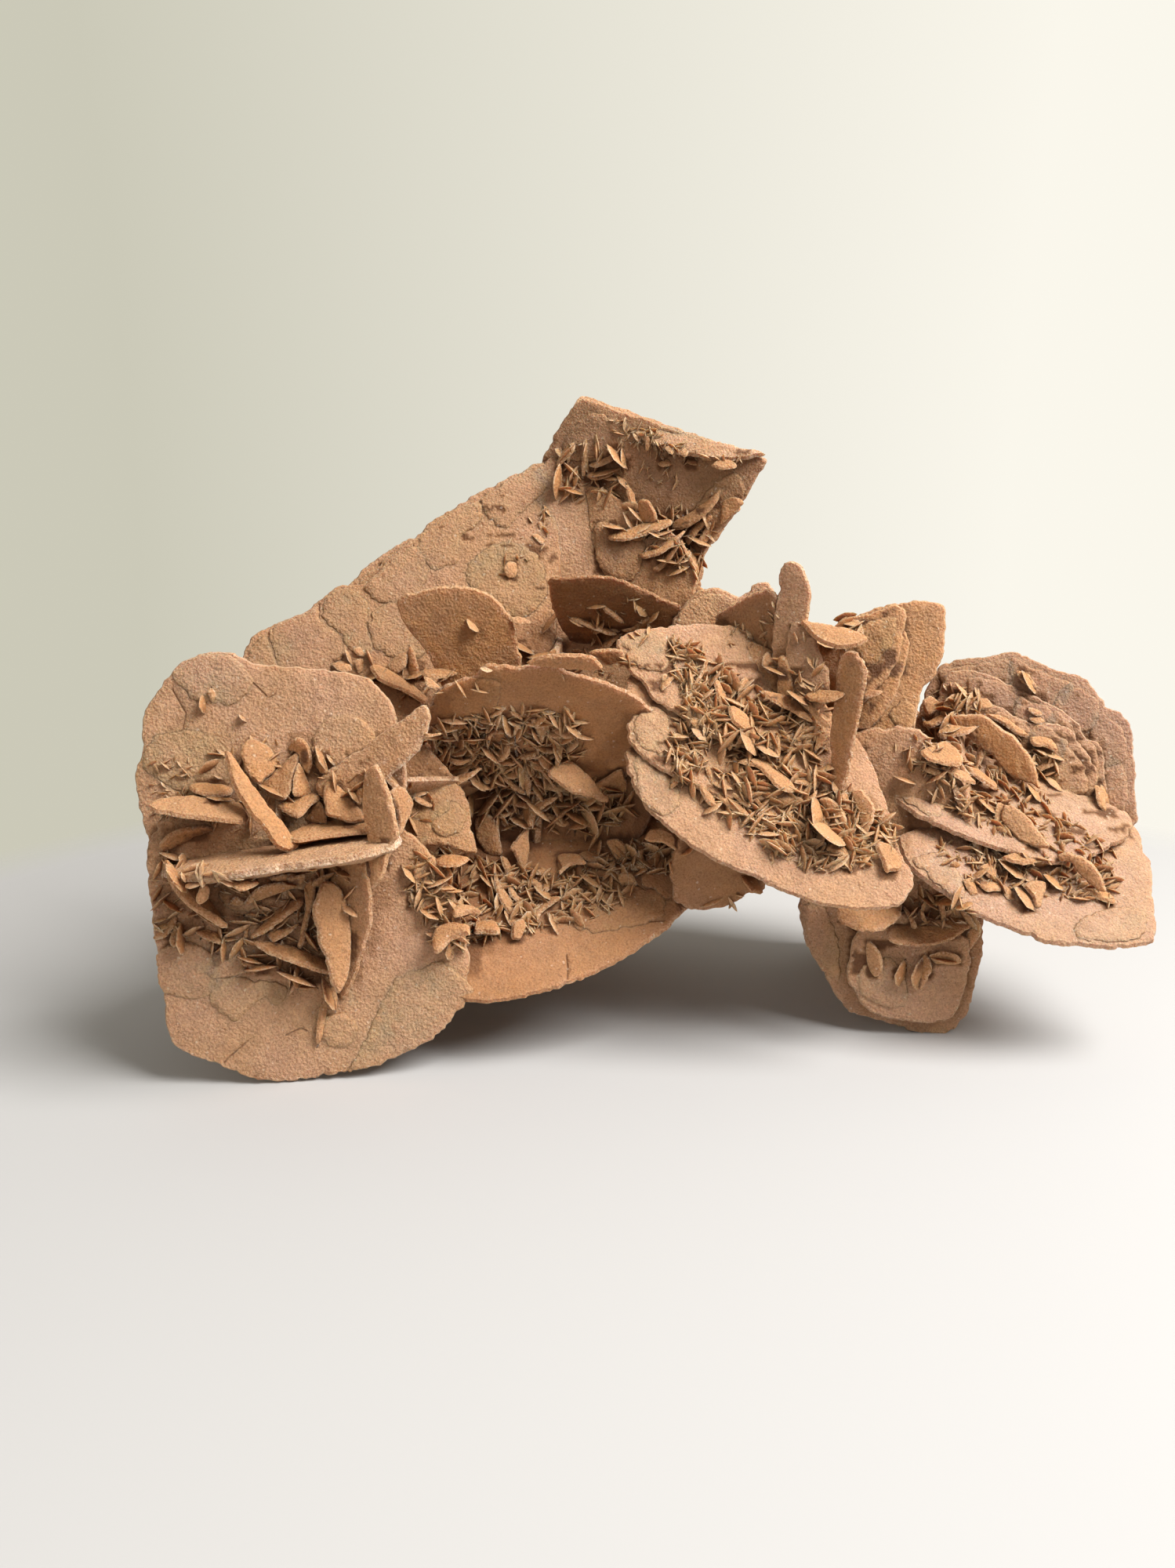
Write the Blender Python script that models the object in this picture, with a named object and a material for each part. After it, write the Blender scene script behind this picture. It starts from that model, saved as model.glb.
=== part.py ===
"""Gypsum sand rose: lens-shaped gypsum plates and blades that grew through each other into one stone.

Every outline is drawn in millimetres on an upright board at y = 0, as it looks from one sight
point in front of the stone, and is carried along the sight lines on to the plate's own plane.
A plate's plane is given by a point at a known depth, by its turn (positive faces right) and by
its lean (positive faces up). All plates are joined in one solid, cut flat where it stands.
"""

import math
import random

import bmesh
import bpy
from mathutils import Quaternion, Vector

MM = 0.001
SIGHT = Vector((0.0, -326.0, 135.3))  # the point that every outline is drawn from, in mm
CENTRE_SHIFT = Vector((-19.2, -29.4, 0.0))  # mm, puts the origin under the middle of the stone
FLOOR = 0.0
RIM_WIDTH = 3.2  # mm, how far the bevel of a plate runs in from its sharp rim
ROUND_CORNERS = 9
LONG_BLADE = 16.0  # mm, the length from which a blade has six corners
SIX_SIDED = ((1, 0), (0.42, 0.92), (-0.42, 1), (-1, 0), (-0.45, -0.95), (0.4, -1))  # length, breadth
FOUR_SIDED = ((1, 0.1), (0.1, 1), (-1, -0.1), (-0.1, -1))
GROWTH_SEED = 11
STONE_NAME = "sand_rose"

# name: (turn, lean, thickness, (board x, board z, depth y), outline)
PLATES = {
    # the pair of broad plates at the left front, the lower one standing on the floor
    "left_foot": (8, 10, 8.0, (-80, -15.5, -31), (
        (-112.5, 52), (-113.4, 30), (-112, 10), (-110.8, -4), (-105.5, -7.7), (-97, -11.5), (-89, -14.6),
        (-80, -15.5), (-68, -13.5), (-55, -9.5), (-43.3, -4.2), (-35.2, 4.7), (-31, 20), (-38, 45),
        (-60, 62), (-95, 64))),
    "left_top": (3, 16, 7.0, (-80, 70, -17), (
        (-115.3, 66), (-113, 74), (-112, 84), (-107.5, 90.5), (-101, 97.6), (-90.5, 100.2), (-82.5, 97),
        (-59.5, 94.5), (-52.5, 91), (-48.5, 84), (-46, 64), (-55, 42), (-85, 38), (-110, 46))),
    "ridge": (-10, 32, 3.6, (-52, 75, -15), (
        (-70, 66), (-58, 74.8), (-45, 84.8), (-36, 90.5), (-33, 82), (-40, 73), (-52, 66), (-63, 60))),
    "inner_left": (20, 18, 4.0, (-45, 62, -9), (
        (-68, 60), (-58, 70), (-48, 75), (-41, 76), (-36, 70), (-31, 63), (-29.5, 54), (-29, 47.7),
        (-39.5, 49.8), (-52, 48), (-64, 50))),
    "shelf": (-78, 82, 3.6, (-79, 45, -37), (
        (-110, 41.8), (-104, 40.0), (-92, 41.0), (-76.8, 43.3), (-62, 45.4), (-49.6, 48.8), (-48.2, 52),
        (-58, 52.2), (-76, 49.6), (-90, 47.2), (-103, 44.6))),
    "left_apron": (6, 20, 3.4, (-97, 20, -30), (
        (-107, 22), (-103, 27), (-94, 28), (-86, 20), (-90.6, 15.1), (-98, 13.4), (-103.4, 16.8), (-106.6, 18))),
    "left_wall": (-28, 4, 4.2, (-62, 27, -28), (
        (-66, 47), (-58, 46), (-55.9, 36), (-56.4, 28), (-59, 20), (-64, 8), (-70, 14), (-72, 32))),
    "pink_wall": (34, 6, 4.2, (-56, 24, -22), (
        (-52, 46), (-56.5, 32), (-60, 21), (-64, 8), (-58, 4), (-50, 12), (-44, 26), (-40, 44))),
    # the bowl in the middle
    "bowl_floor": (0, 48, 4.6, (-27, 7, -25), (
        (-51, 41), (-54.4, 23.2), (-55.6, 17.8), (-53, 13.4), (-47.6, 9), (-40, 7.9), (-27.3, 6.8),
        (-16.4, 8.4), (-5.6, 11.5), (3.6, 15.7), (12, 20.7), (20, 26.7), (27.8, 34.6), (35.5, 44.4),
        (38, 55), (20, 64), (-20, 64), (-44, 56))),
    "bowl_lip": (5, -32, 4.0, (-15, 96, -12), (
        (-40.4, 80), (-39.8, 87.3), (-36, 91.4), (-28.6, 94.3), (-24.5, 97), (-17, 96.1), (-10.5, 96.7),
        (-1.5, 94), (9.8, 90.3), (18, 82), (10, 68), (-4, 62), (-25, 66), (-38, 74))),
    "bowl_back": (0, 5, 5.0, (-15, 62, 11), (
        (-50, 46), (-44, 72), (-32, 84), (-16, 88), (6, 80), (18, 62), (6, 44), (-20, 38))),
    # the tall wall that leans back behind them, in two layers
    "back_wall": (6, 22, 6.0, (-45, 100, 30), (
        (-86, 96), (-84, 102.6), (-79.6, 106), (-70, 110), (-61.3, 116), (-54.6, 117), (-46.2, 125.2),
        (-38, 131.8), (-30, 136.8), (-19.8, 141.8), (-11.3, 146), (-8.6, 144.6), (-8.2, 141), (-10, 137.5),
        (-7, 130), (-6.5, 118), (-8, 105), (-10, 84), (-40, 76), (-76, 84))),
    "back_wall_rear": (2, 16, 6.0, (-45, 100, 37), (
        (-64, 110), (-55.6, 119.6), (-48.3, 125.3), (-40, 129), (-16, 141), (-4, 149), (12, 128), (8, 60),
        (-20, 30), (-50, 20), (-74, 44), (-80, 84))),
    "amber_disc": (0, -22, 3.4, (-30, 95, 12), (
        (-47.2, 111.2), (-44.6, 114), (-37.6, 115.3), (-30.3, 116), (-25.6, 114.3), (-21.2, 110.9),
        (-19, 105), (-16.9, 101), (-16.4, 94), (-20, 80), (-38, 80), (-44, 102))),
    # the crest at the top
    "crest": (-12, -4, 7.0, (15, 140, 49), (
        (-0.9, 160.6), (-5.4, 156), (-8.5, 150.7), (-11, 144), (-6, 134), (2, 118), (12, 108), (24, 108),
        (27.5, 117.7), (29.3, 124.3), (34, 130.8), (37.4, 135), (41, 141.7), (43.6, 146), (40, 148),
        (19.8, 154), (8.5, 157.7))),
    "crest_cap": (-6, 34, 6.5, (18, 152, 47), (
        (-1.2, 161), (8.5, 158), (19.8, 154.3), (31.4, 150.3), (43, 147.6), (36, 146), (28, 146.6),
        (20, 148.2), (11, 152), (3, 156), (-3.6, 157))),
    "crest_foot": (-16, 12, 5.0, (10, 125, 43), (
        (-0.3, 139.4), (0.3, 133), (0.5, 129.9), (1.7, 124.5), (3.6, 119.4), (8, 110), (23, 106),
        (27.4, 117), (22, 128), (12, 134), (4, 139.6))),
    "crest_side": (20, -6, 4.0, (32, 130, 52), (
        (29, 140), (37.6, 135.4), (35.1, 132.7), (32.3, 128.2), (29, 123.5), (27.6, 115), (20, 112),
        (20, 128))),
    "eave": (0, -38, 2.8, (5, 108, 32), (
        (-9.6, 117.2), (-3.6, 118.4), (3.5, 118.6), (10.1, 117.2), (18.1, 113.4), (23.6, 110.9),
        (22, 106), (10, 101), (-5, 103))),
    # the near disc at the right of the bowl, in three layers
    "disc_low": (8, 38, 4.6, (45, 65, -8), (
        (9.8, 75), (9.8, 71), (11.1, 66.6), (15, 59.4), (24.7, 50.9), (33.1, 45.5), (40.9, 42.1),
        (47.5, 39), (55.3, 35.6), (63, 33.4), (73, 32.3), (80.9, 33.6), (83.9, 37.6), (84.2, 41.6),
        (80.5, 48.4), (76, 62), (68, 78), (48, 92), (20, 86))),
    "disc_middle": (8, 38, 3.4, (45, 65, -11), (
        (10, 93), (9.7, 88.6), (11.5, 84.5), (9.6, 80.6), (11, 76), (16, 71.2), (20.8, 68.4), (36, 62),
        (58, 64), (62, 84), (42, 98), (15, 98))),
    "disc_top": (8, 38, 3.2, (45, 65, -13.6), (
        (7, 101.4), (8.4, 103.5), (12, 105.2), (18, 105.9), (30, 106.5), (48, 104), (58, 92), (56, 76),
        (36, 76), (20, 85.2), (15.8, 88), (14, 91.7), (10.4, 95))),
    # the bunch that stands on its upper right
    "bunch_back": (-5, 10, 4.0, (34, 105, 28), (
        (20, 104), (24, 111.5), (27.6, 114.9), (33.1, 115.5), (37.4, 113.4), (42.2, 116.8), (45.4, 116.2),
        (49, 108), (46, 90), (24, 90))),
    "bunch_dark": (-38, -10, 3.2, (38, 104, 15), (
        (29.8, 102), (31.8, 108.3), (35, 110.8), (41.7, 114.3), (46.6, 114.6), (50, 100), (42, 90), (30, 94))),
    "bunch_lens": (-18, 24, 3.4, (39, 96, 9), (
        (29, 99.6), (34.9, 102.1), (41.4, 102.1), (46.6, 99.6), (50, 90), (38, 86), (30, 92))),
    "bunch_spire": (-26, 2, 5.0, (50, 108, 5), (
        (48.4, 121.6), (47.4, 117), (46.5, 108.2), (46, 100), (48, 88), (54, 88), (55, 108),
        (55.1, 115.4), (53.4, 120.3), (51, 122))),
    "bunch_plate": (-30, 10, 5.4, (55, 98, 1), (
        (50.2, 105.5), (51.8, 107.6), (54.9, 106.6), (57.9, 100.3), (60.6, 95), (60, 86), (52.6, 84), (49.4, 96))),
    "fin": (-32, 5, 5.0, (65, 80, -8), (
        (62, 98.3), (64.4, 100.3), (67.5, 99.4), (69.9, 93), (68.4, 85.5), (68.2, 76), (66.1, 65.4),
        (64.4, 60.5), (61.6, 66), (60.2, 78), (60.6, 92))),
    "wing": (-22, -8, 4.2, (78, 92, 9), (
        (62, 106), (66.7, 108.7), (77.5, 112.1), (84.8, 112.2), (88.3, 111.2), (89.3, 107), (89, 100.7),
        (87.2, 94.4), (83.8, 90), (83, 82.8), (82.4, 77.5), (79, 74), (75.4, 67), (70, 66), (64, 84))),
    "wing_near": (-22, -8, 3.4, (78, 92, 5.6), (
        (63, 106.4), (72, 110), (78.3, 111.4), (79, 104), (77.6, 97.6), (74.5, 92.6), (68, 86), (63, 96))),
    "wing_middle": (-22, -8, 3.2, (78, 92, 7.2), (
        (76, 108), (80, 103), (79.6, 96.5), (76.5, 86.7), (70.9, 80), (66, 82), (70, 100))),
    # the plates at the right, the back one in terraces
    "fan_back": (-12, 18, 6.0, (115, 78, 25), (
        (85, 90), (87.7, 95.5), (91.6, 97.6), (98, 98.2), (106, 99.7), (112.9, 97.2), (118.3, 95),
        (124.8, 93.1), (128.7, 89.1), (131, 85.6), (135.1, 84.3), (138, 79.2), (138.6, 73.4),
        (140.3, 62), (139.7, 54), (120, 46), (95, 50), (82, 70))),
    "fan_terrace": (-12, 18, 3.4, (115, 78, 21.6), (
        (90, 94), (99.9, 94.3), (107.1, 91.1), (117.5, 86), (124, 81.7), (126.3, 77.6), (130, 76.5),
        (131.7, 70), (131, 58), (105, 56), (88, 78))),
    "fan_step": (-12, 18, 3.2, (115, 78, 19.2), (
        (90, 88), (103, 86), (110.7, 82.4), (120.9, 81.1), (124.6, 77), (129, 71), (130, 66), (124, 56),
        (100, 58), (90, 74))),
    "apron_top": (14, 54, 5.2, (100, 58, 3), (
        (69, 66.3), (73.2, 64.2), (78.9, 60.9), (85.6, 56.5), (92.2, 53.7), (98.9, 50.8), (105.5, 48.6),
        (114, 46), (126, 45), (139, 52), (138, 58), (124, 64), (108, 70), (92, 76), (76, 74))),
    "apron_low": (10, 52, 5.2, (115, 40, -8), (
        (80, 52), (80.8, 48), (83.6, 43.2), (90.1, 38.3), (97.6, 33.1), (104, 29.7), (111.4, 26.7),
        (119.7, 23.4), (130, 22.2), (142.3, 21.9), (148.2, 24), (147.2, 33.7), (146, 43.2),
        (143.2, 48.6), (139.9, 54.8), (124, 60), (104, 60), (90, 56))),
    # the right foot and what hangs over it
    "right_foot": (-3, 4, 7.0, (92, -1.6, -1), (
        (54.9, 37), (55.2, 31), (56.8, 24.6), (60.3, 17.7), (64.1, 11.2), (69.2, 4.4), (75.8, 2.6),
        (82, 0.6), (88.8, -1.6), (95.5, -1.6), (99.2, 1.6), (101.4, 6.5), (102, 13), (103.5, 20), (103, 30),
        (98, 62), (84, 80), (66, 78), (56, 56))),
    "right_foot_near": (-3, 4, 2.8, (80, 14, -4.4), (
        (68.8, 19.5), (68.4, 14), (70.6, 9.5), (75.8, 3.8), (90, 1), (98, 5), (100, 24), (84, 32), (71, 27))),
    "right_brow": (4, 56, 2.6, (73, 27, -11), (
        (65, 30.4), (69, 27.4), (74, 26.4), (78, 27.4), (82, 31.4), (80, 37), (66, 37))),
    "right_brow_far": (4, 56, 2.6, (90, 22.6, -9), (
        (79, 24.6), (84, 22.4), (90, 22.4), (96, 24.6), (101, 29), (98, 33), (80, 33))),
    "keel": (6, -12, 4.0, (33, 38, -6), (
        (22, 36), (27, 32.4), (36, 33.6), (42, 36.8), (45.8, 38.4), (46, 50), (24, 52))),
}

# centre (mm, in space), turn, lean, radius, thickness: the plates that only the sides and back show
ROUND_PLATES = {
    "rear_foot": ((-22, 60, 34), 196, 14, 40, 7.5),
    "rear_right_foot": ((92, 54, 27), 160, 10, 29.5, 7.0),
    "rear_left": ((-62, 48, 62), 214, 22, 40, 6.0),
    "rear_left_low": ((-74, 34, 36), 238, -10, 30, 5.0),
    "rear_shoulder": ((4, 70, 92), 182, 30, 41, 6.0),
    "rear_shelf": ((14, 66, 56), 170, 62, 42, 5.5),
    "rear_right": ((62, 56, 76), 152, 34, 36, 6.0),
    "rear_right_low": ((106, 40, 52), 132, 20, 30, 5.5),
    "rear_tilt": ((-24, 78, 66), 205, -18, 27, 4.5),
    "rear_fin": ((38, 78, 62), 100, 8, 26, 4.5),
    "rear_blade": ((-58, 62, 50), 262, 6, 27, 4.5),
    "bind_left": ((-70, 6, 48), 82, 4, 40, 6.5),
    "bind_middle": ((-12, 42, 64), 86, -4, 42, 7.0),
    "bind_centre": ((26, 32, 70), 98, 8, 38, 7.0),
    "bind_right": ((80, 36, 52), 76, 4, 37, 6.5),
    "bind_floor": ((4, 52, 50), 0, 84, 44, 8.0),
    "bind_far_right": ((108, 18, 54), 60, 26, 30, 6.0),
    "sill_left": ((-60, 12, 58), 200, 72, 40, 6.0),
    "sill_right": ((58, 32, 68), 150, 76, 36, 6.0),
}

# the plate that carries them: (ax, az, bx, bz) on the board, breadth, tilt about the length
# (0 is edge on), thickness, and how far the middle stands in front of the plate's middle
BLADES = {
    "left_top": (
        (-92.4, 74.8, -78.2, 50.4, 19, 15, 4.6, 9),
        (-113, 60.4, -86, 57.6, 18, 20, 5.2, 7),
        (-110, 52.6, -95, 53.4, 12, 35, 3.2, 5),
        (-78, 51.8, -51.4, 54.8, 18, 12, 2.4, 8),
        (-89, 72.6, -78.4, 69.2, 12, 62, 2.4, 4),
        (-73.6, 74.6, -82.5, 61, 13, 50, 2.6, 6),
        (-81, 61.6, -67, 63.4, 13, 20, 2.4, 6),
        (-70, 62.4, -66.8, 53.6, 11, 35, 2.0, 7),
        (-66.4, 67.2, -58.4, 56.6, 15, 50, 2.8, 6),
        (-55.2, 71.6, -49, 52.6, 17, 45, 2.8, 6)),
    "inner_left": (
        (-48.4, 67.6, -46.4, 51.6, 13, 45, 2.4, 4),
        (-46, 64, -39, 60.6, 10, 30, 2.2, 3)),
    "left_foot": (
        (-110, 46.2, -93.6, 27.2, 13, 30, 4.2, 5),
        (-114.2, 23.8, -105.8, 31.8, 9, 25, 2.4, 4),
        (-68, 42.4, -64.6, 6.6, 18, 42, 3.4, 8),
        (-71.8, 43.6, -75.8, 21.6, 15, 20, 2.6, 8),
        (-89, 24.4, -73.6, 36.8, 17, 40, 3.0, 7),
        (-88.4, 23.8, -65.8, 14.8, 19, 15, 4.0, 9),
        (-91, 36, -78.4, 39.4, 13, 25, 2.4, 6),
        (-69.2, 12, -72.9, -6.2, 12, 35, 3.0, 6)),
    "back_wall": (
        (-54.4, 97.4, -40.2, 87, 26, 24, 2.8, 11),
        (-44.2, 102, -42, 92.6, 15, 30, 2.4, 7),
        (-16, 96.6, -1, 98.6, 26, 22, 3.4, 10),
        (-5.6, 109, 6, 105.6, 24, 22, 2.4, 8),
        (3, 112, 10, 104.4, 24, 30, 2.4, 8),
        (14, 109.8, 22, 107.4, 20, 30, 2.4, 8)),
    "bowl_back": (
        (-11, 72.4, 6.4, 61.6, 19, 48, 3.0, 8),
        (-16.4, 55.4, -7, 63, 16, 30, 2.4, 7),
        (-3.4, 62, -3, 50.6, 16, 25, 2.4, 7),
        (-1.6, 54.6, 4, 62.2, 16, 28, 2.4, 7)),
    "bowl_floor": (
        (-28.6, 57.8, -20.8, 47.6, 14, 60, 2.8, 4),
        (-15.6, 56.4, -18.6, 41.6, 15, 40, 2.8, 5),
        (-9.4, 45.8, 7, 47.2, 15, 30, 3.2, 4),
        (-40, 27.2, -22, 27.4, 12, 45, 4.6, 3)),
    "crest": (
        (-0.3, 152.4, -0.8, 141.6, 13, 20, 2.0, 6),
        (4.6, 150, 9.8, 144, 11, 25, 2.0, 5),
        (0.2, 144.4, 7, 147.4, 13, 30, 2.0, 6),
        (9, 141.8, 12.4, 133, 13, 25, 2.4, 6),
        (11.6, 138, 17.2, 131.8, 13, 45, 2.4, 5)),
    "crest_foot": (
        (4.4, 127.4, 20.8, 132.4, 22, 22, 3.0, 6),
        (11.6, 123, 20, 128.8, 20, 34, 2.6, 5),
        (22.6, 128.2, 27.2, 117.6, 28, 25, 2.8, 1)),
    "bunch_plate": (
        (53, 107.4, 70.2, 102.4, 36, 22, 4.8, -1),
        (55.8, 116, 63, 105, 16, 34, 3.0, -2)),
    "disc_top": (
        (43.2, 90.4, 58.6, 81.6, 17, 18, 3.0, 6),
        (52.4, 90.2, 62.4, 79.8, 17, 18, 3.0, 6),
        (31.4, 94, 38, 83.6, 19, 35, 2.8, 3),
        (36, 87, 47.4, 75.6, 15, 30, 3.0, 5),
        (35.2, 84.4, 37, 74.6, 12, 35, 2.8, 4)),
    "disc_middle": (
        (38.4, 80.6, 43.4, 73.4, 12, 30, 2.4, 4),
        (19, 71.8, 26.4, 64, 18, 55, 2.8, 2),
        (42.8, 72.2, 53.6, 64, 15, 30, 3.2, 5)),
    "disc_low": (
        (38.6, 71.4, 49.6, 56.4, 16, 20, 2.6, 6),
        (45, 62, 57, 61.6, 14, 35, 3.6, 5),
        (30.6, 65.8, 41, 57.4, 15, 22, 2.6, 5),
        (48.8, 59, 58, 52.6, 15, 22, 2.8, 5),
        (56.4, 57, 66.6, 50, 14, 25, 2.6, 5),
        (57.4, 62.6, 60.6, 53.4, 13, 30, 2.8, 4),
        (68, 64.6, 72.4, 53, 15, 45, 4.0, 5),
        (73.4, 51.4, 79.4, 44.4, 12, 45, 3.4, 3)),
    "fan_step": (
        (92, 82.8, 101, 82.6, 18, 30, 3.2, 6),
        (100, 82.8, 110.6, 75, 20, 34, 4.4, 6),
        (109, 76.6, 115, 65, 18, 34, 4.4, 6),
        (98.8, 81.6, 98.4, 70, 15, 25, 2.8, 5),
        (85, 80.6, 96, 80, 15, 30, 3.0, 5)),
    "apron_top": (
        (105, 61.6, 118.2, 49.4, 16, 40, 4.6, 5),),
    "apron_low": (
        (106, 46.6, 115.4, 45.4, 14, 30, 3.0, 4),
        (121.6, 48.4, 131.4, 44.6, 15, 40, 4.2, 4),
        (129, 46, 136, 38, 14, 45, 4.4, 4)),
    "right_foot": (
        (73.2, 25.2, 76.4, 14.2, 10, 45, 3.0, 5),
        (81.4, 34.4, 85.4, 27.4, 22, 35, 2.6, 11),
        (89, 36.4, 93.4, 30, 22, 45, 2.6, 9)),
    "keel": (
        (39.4, 42.4, 45.6, 37.2, 12, 30, 4.2, 2),),
}

# plate that carries them, path on the board that they lie along, half width of the band, count,
# shortest and longest crystal
BANDS = (
    ("disc_top", ((22, 102), (26, 92), (30, 84)), 5.0, 4, 7.5, 10.0),
    ("disc_middle", ((24, 82), (32, 76), (44, 68)), 6.0, 4, 7.5, 10.0),
    ("disc_low", ((36, 56), (50, 52), (60, 47), (74, 50)), 5.0, 4, 7.5, 10.0),
    ("bowl_floor", ((-46, 38), (-34, 32), (-24, 34), (-8, 34), (8, 38), (22, 44)), 5.0, 5, 8.0, 11.0),
    ("bowl_lip", ((-36, 78), (-22, 78), (-8, 76)), 4.0, 4, 8.0, 10.0),
    ("bowl_back", ((-24, 66), (-6, 58), (8, 58)), 7.0, 3, 9.0, 13.0),
    ("apron_low", ((94, 46), (106, 42), (120, 40)), 5.0, 4, 7.5, 10.0),
    ("apron_top", ((84, 68), (96, 64), (108, 62)), 5.0, 3, 7.5, 10.0),
)


def fresh_scene():
    for obj in list(bpy.data.objects):
        bpy.data.objects.remove(obj, do_unlink=True)


def new_collection(name):
    made = bpy.data.collections.new(name)
    bpy.context.scene.collection.children.link(made)
    return made


def facing(turn, lean):
    """The outward normal of a plate that is turned and leans by these degrees."""
    turn, lean = math.radians(turn), math.radians(lean)
    return Vector((math.sin(turn) * math.cos(lean), -math.cos(turn) * math.cos(lean), math.sin(lean)))


def in_space(x, z, depth):
    """The point at this depth on the sight line through (x, z) of the board, in mm."""
    board = Vector((x, 0.0, z))
    return SIGHT + (board - SIGHT) * (1.0 + depth / -SIGHT.y)


def on_plane(x, z, point, normal):
    """Where the sight line through (x, z) of the board meets the plane."""
    ray = Vector((x, 0.0, z)) - SIGHT
    return SIGHT + ray * ((point - SIGHT).dot(normal) / ray.dot(normal))


def along(path, share):
    """The point at this share, 0 to 1, of a path of board points, taken leg by leg."""
    place = share * (len(path) - 1)
    leg = min(int(place), len(path) - 2)
    part = place - leg
    return tuple(a + (b - a) * part for a, b in zip(path[leg], path[leg + 1]))


def cut_at_floor(mesh):
    """Slice the closed mesh flat at the floor and cap it."""
    if min(v.co.z for v in mesh.verts) >= FLOOR:
        return
    cut = bmesh.ops.bisect_plane(
        mesh, geom=mesh.verts[:] + mesh.edges[:] + mesh.faces[:],
        plane_co=(0, 0, FLOOR), plane_no=(0, 0, 1), clear_inner=True)
    edges = [e for e in cut["geom_cut"] if isinstance(e, bmesh.types.BMEdge)]
    bmesh.ops.contextual_create(mesh, geom=edges)


def keep(name, mesh, collection):
    """Turn a closed bmesh in mm into a guide object in metres, cut at the floor."""
    cut_at_floor(mesh)
    bmesh.ops.recalc_face_normals(mesh, faces=mesh.faces)
    bmesh.ops.translate(mesh, vec=CENTRE_SHIFT, verts=mesh.verts)
    bmesh.ops.scale(mesh, vec=(MM, MM, MM), verts=mesh.verts)
    data = bpy.data.meshes.new(name)
    mesh.to_mesh(data)
    mesh.free()
    obj = bpy.data.objects.new(name, data)
    obj.hide_render = True
    obj.display_type = "WIRE"
    collection.objects.link(obj)


def bevelled_plate(name, rim, normal, thickness, collection):
    """A flat plate whose rim is sharp, from the points of its rim in space."""
    centre = sum(rim, Vector()) / len(rim)
    mesh = bmesh.new()
    edge = [mesh.verts.new(point) for point in rim]
    for side in (1, -1):
        face = []
        for point in rim:
            out = point - centre
            inner = centre + out * max(0.3, 1 - RIM_WIDTH / out.length)
            face.append(mesh.verts.new(inner + normal * thickness / 2 * side))
        for i, j in zip(range(-1, len(rim)), range(len(rim))):
            mesh.faces.new((edge[i], edge[j], face[j], face[i]))
        mesh.faces.new(face)
    keep(name, mesh, collection)


def lens(name, centre, length_axis, breadth_axis, sizes, rim_shares, collection):
    """A lens-shaped crystal: a rim of a few corners that rises to a blunt point on both faces."""
    length, breadth, thickness = sizes
    thick_axis = length_axis.cross(breadth_axis).normalized()
    mesh = bmesh.new()
    rim = [
        mesh.verts.new(centre + length_axis * length / 2 * a + breadth_axis * breadth / 2 * b)
        for a, b in rim_shares]
    for side in (1, -1):
        tip = mesh.verts.new(centre + thick_axis * thickness / 2 * side)
        for i in range(len(rim)):
            mesh.faces.new((rim[i - 1], rim[i], tip))
    keep(name, mesh, collection)


def blade(name, row, plane, collection):
    """One of BLADES: its length lies across the view, its breadth runs back from it."""
    ax, az, bx, bz, breadth, tilt, thickness, stand = row
    point, normal, _ = plane
    middle = on_plane((ax + bx) / 2, (az + bz) / 2, point + normal * stand, normal)
    a, b = in_space(ax, az, middle.y), in_space(bx, bz, middle.y)
    axis = (b - a).normalized()
    sight = (middle - SIGHT).normalized()
    back = (sight - axis * sight.dot(axis)).normalized()
    across = axis.cross(back).normalized()
    tilt = math.radians(tilt)
    reach = back * math.cos(tilt) + across * math.sin(tilt)
    length = (b - a).length
    corners = SIX_SIDED if length > LONG_BLADE else FOUR_SIDED
    lens(name, middle, axis, reach, (length, breadth, thickness), corners, collection)


def standing_crystal(name, foot, normal, size, rng, collection):
    """A lens that stands on a face, half sunk in it, turned and tipped at random."""
    around = Quaternion(normal, rng.uniform(0, math.tau)) @ normal.orthogonal().normalized()
    up = (normal + around.cross(normal) * rng.uniform(-0.7, 0.7)).normalized()
    sizes = (size, size * rng.uniform(0.8, 1.1), size * rng.uniform(0.2, 0.3))
    lens(name, foot, around, up, sizes, FOUR_SIDED, collection)


def round_rim(centre, normal, radius, rng):
    """An uneven round rim about a centre in space."""
    side = normal.cross(Vector((0, 0, 1))).normalized()
    rise = side.cross(normal)
    rim = []
    for i in range(ROUND_CORNERS):
        angle = math.tau * i / ROUND_CORNERS
        reach = radius * rng.uniform(0.9, 1.04)
        rim.append(centre + (side * math.cos(angle) + rise * math.sin(angle)) * reach)
    return rim


def grow(collection):
    """Make every plate and crystal as its own closed guide."""
    rng = random.Random(GROWTH_SEED)
    planes = {}
    for name, (turn, lean, thickness, (x, z, depth), outline) in PLATES.items():
        normal = facing(turn, lean)
        point = in_space(x, z, depth)
        planes[name] = point, normal, thickness
        rim = [on_plane(px, pz, point, normal) for px, pz in outline]
        bevelled_plate(name, rim, normal, thickness, collection)
    for name, (centre, turn, lean, radius, thickness) in ROUND_PLATES.items():
        normal = facing(turn, lean)
        planes[name] = Vector(centre), normal, thickness
        bevelled_plate(name, round_rim(Vector(centre), normal, radius, rng), normal, thickness, collection)
    for carrier, rows in BLADES.items():
        for i, row in enumerate(rows):
            blade(f"{carrier}_blade_{i}", row, planes[carrier], collection)
    for carrier, path, half_width, count, shortest, longest in BANDS:
        point, normal, thickness = planes[carrier]
        for i in range(count):
            x, z = along(path, (i + 0.5) / count)
            x += rng.uniform(-half_width, half_width)
            z += rng.uniform(-half_width, half_width)
            foot = on_plane(x, z, point, normal) + normal * thickness * 0.5
            size = rng.uniform(shortest, longest)
            standing_crystal(f"{carrier}_crystal_{i}", foot, normal, size, rng, collection)


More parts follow.
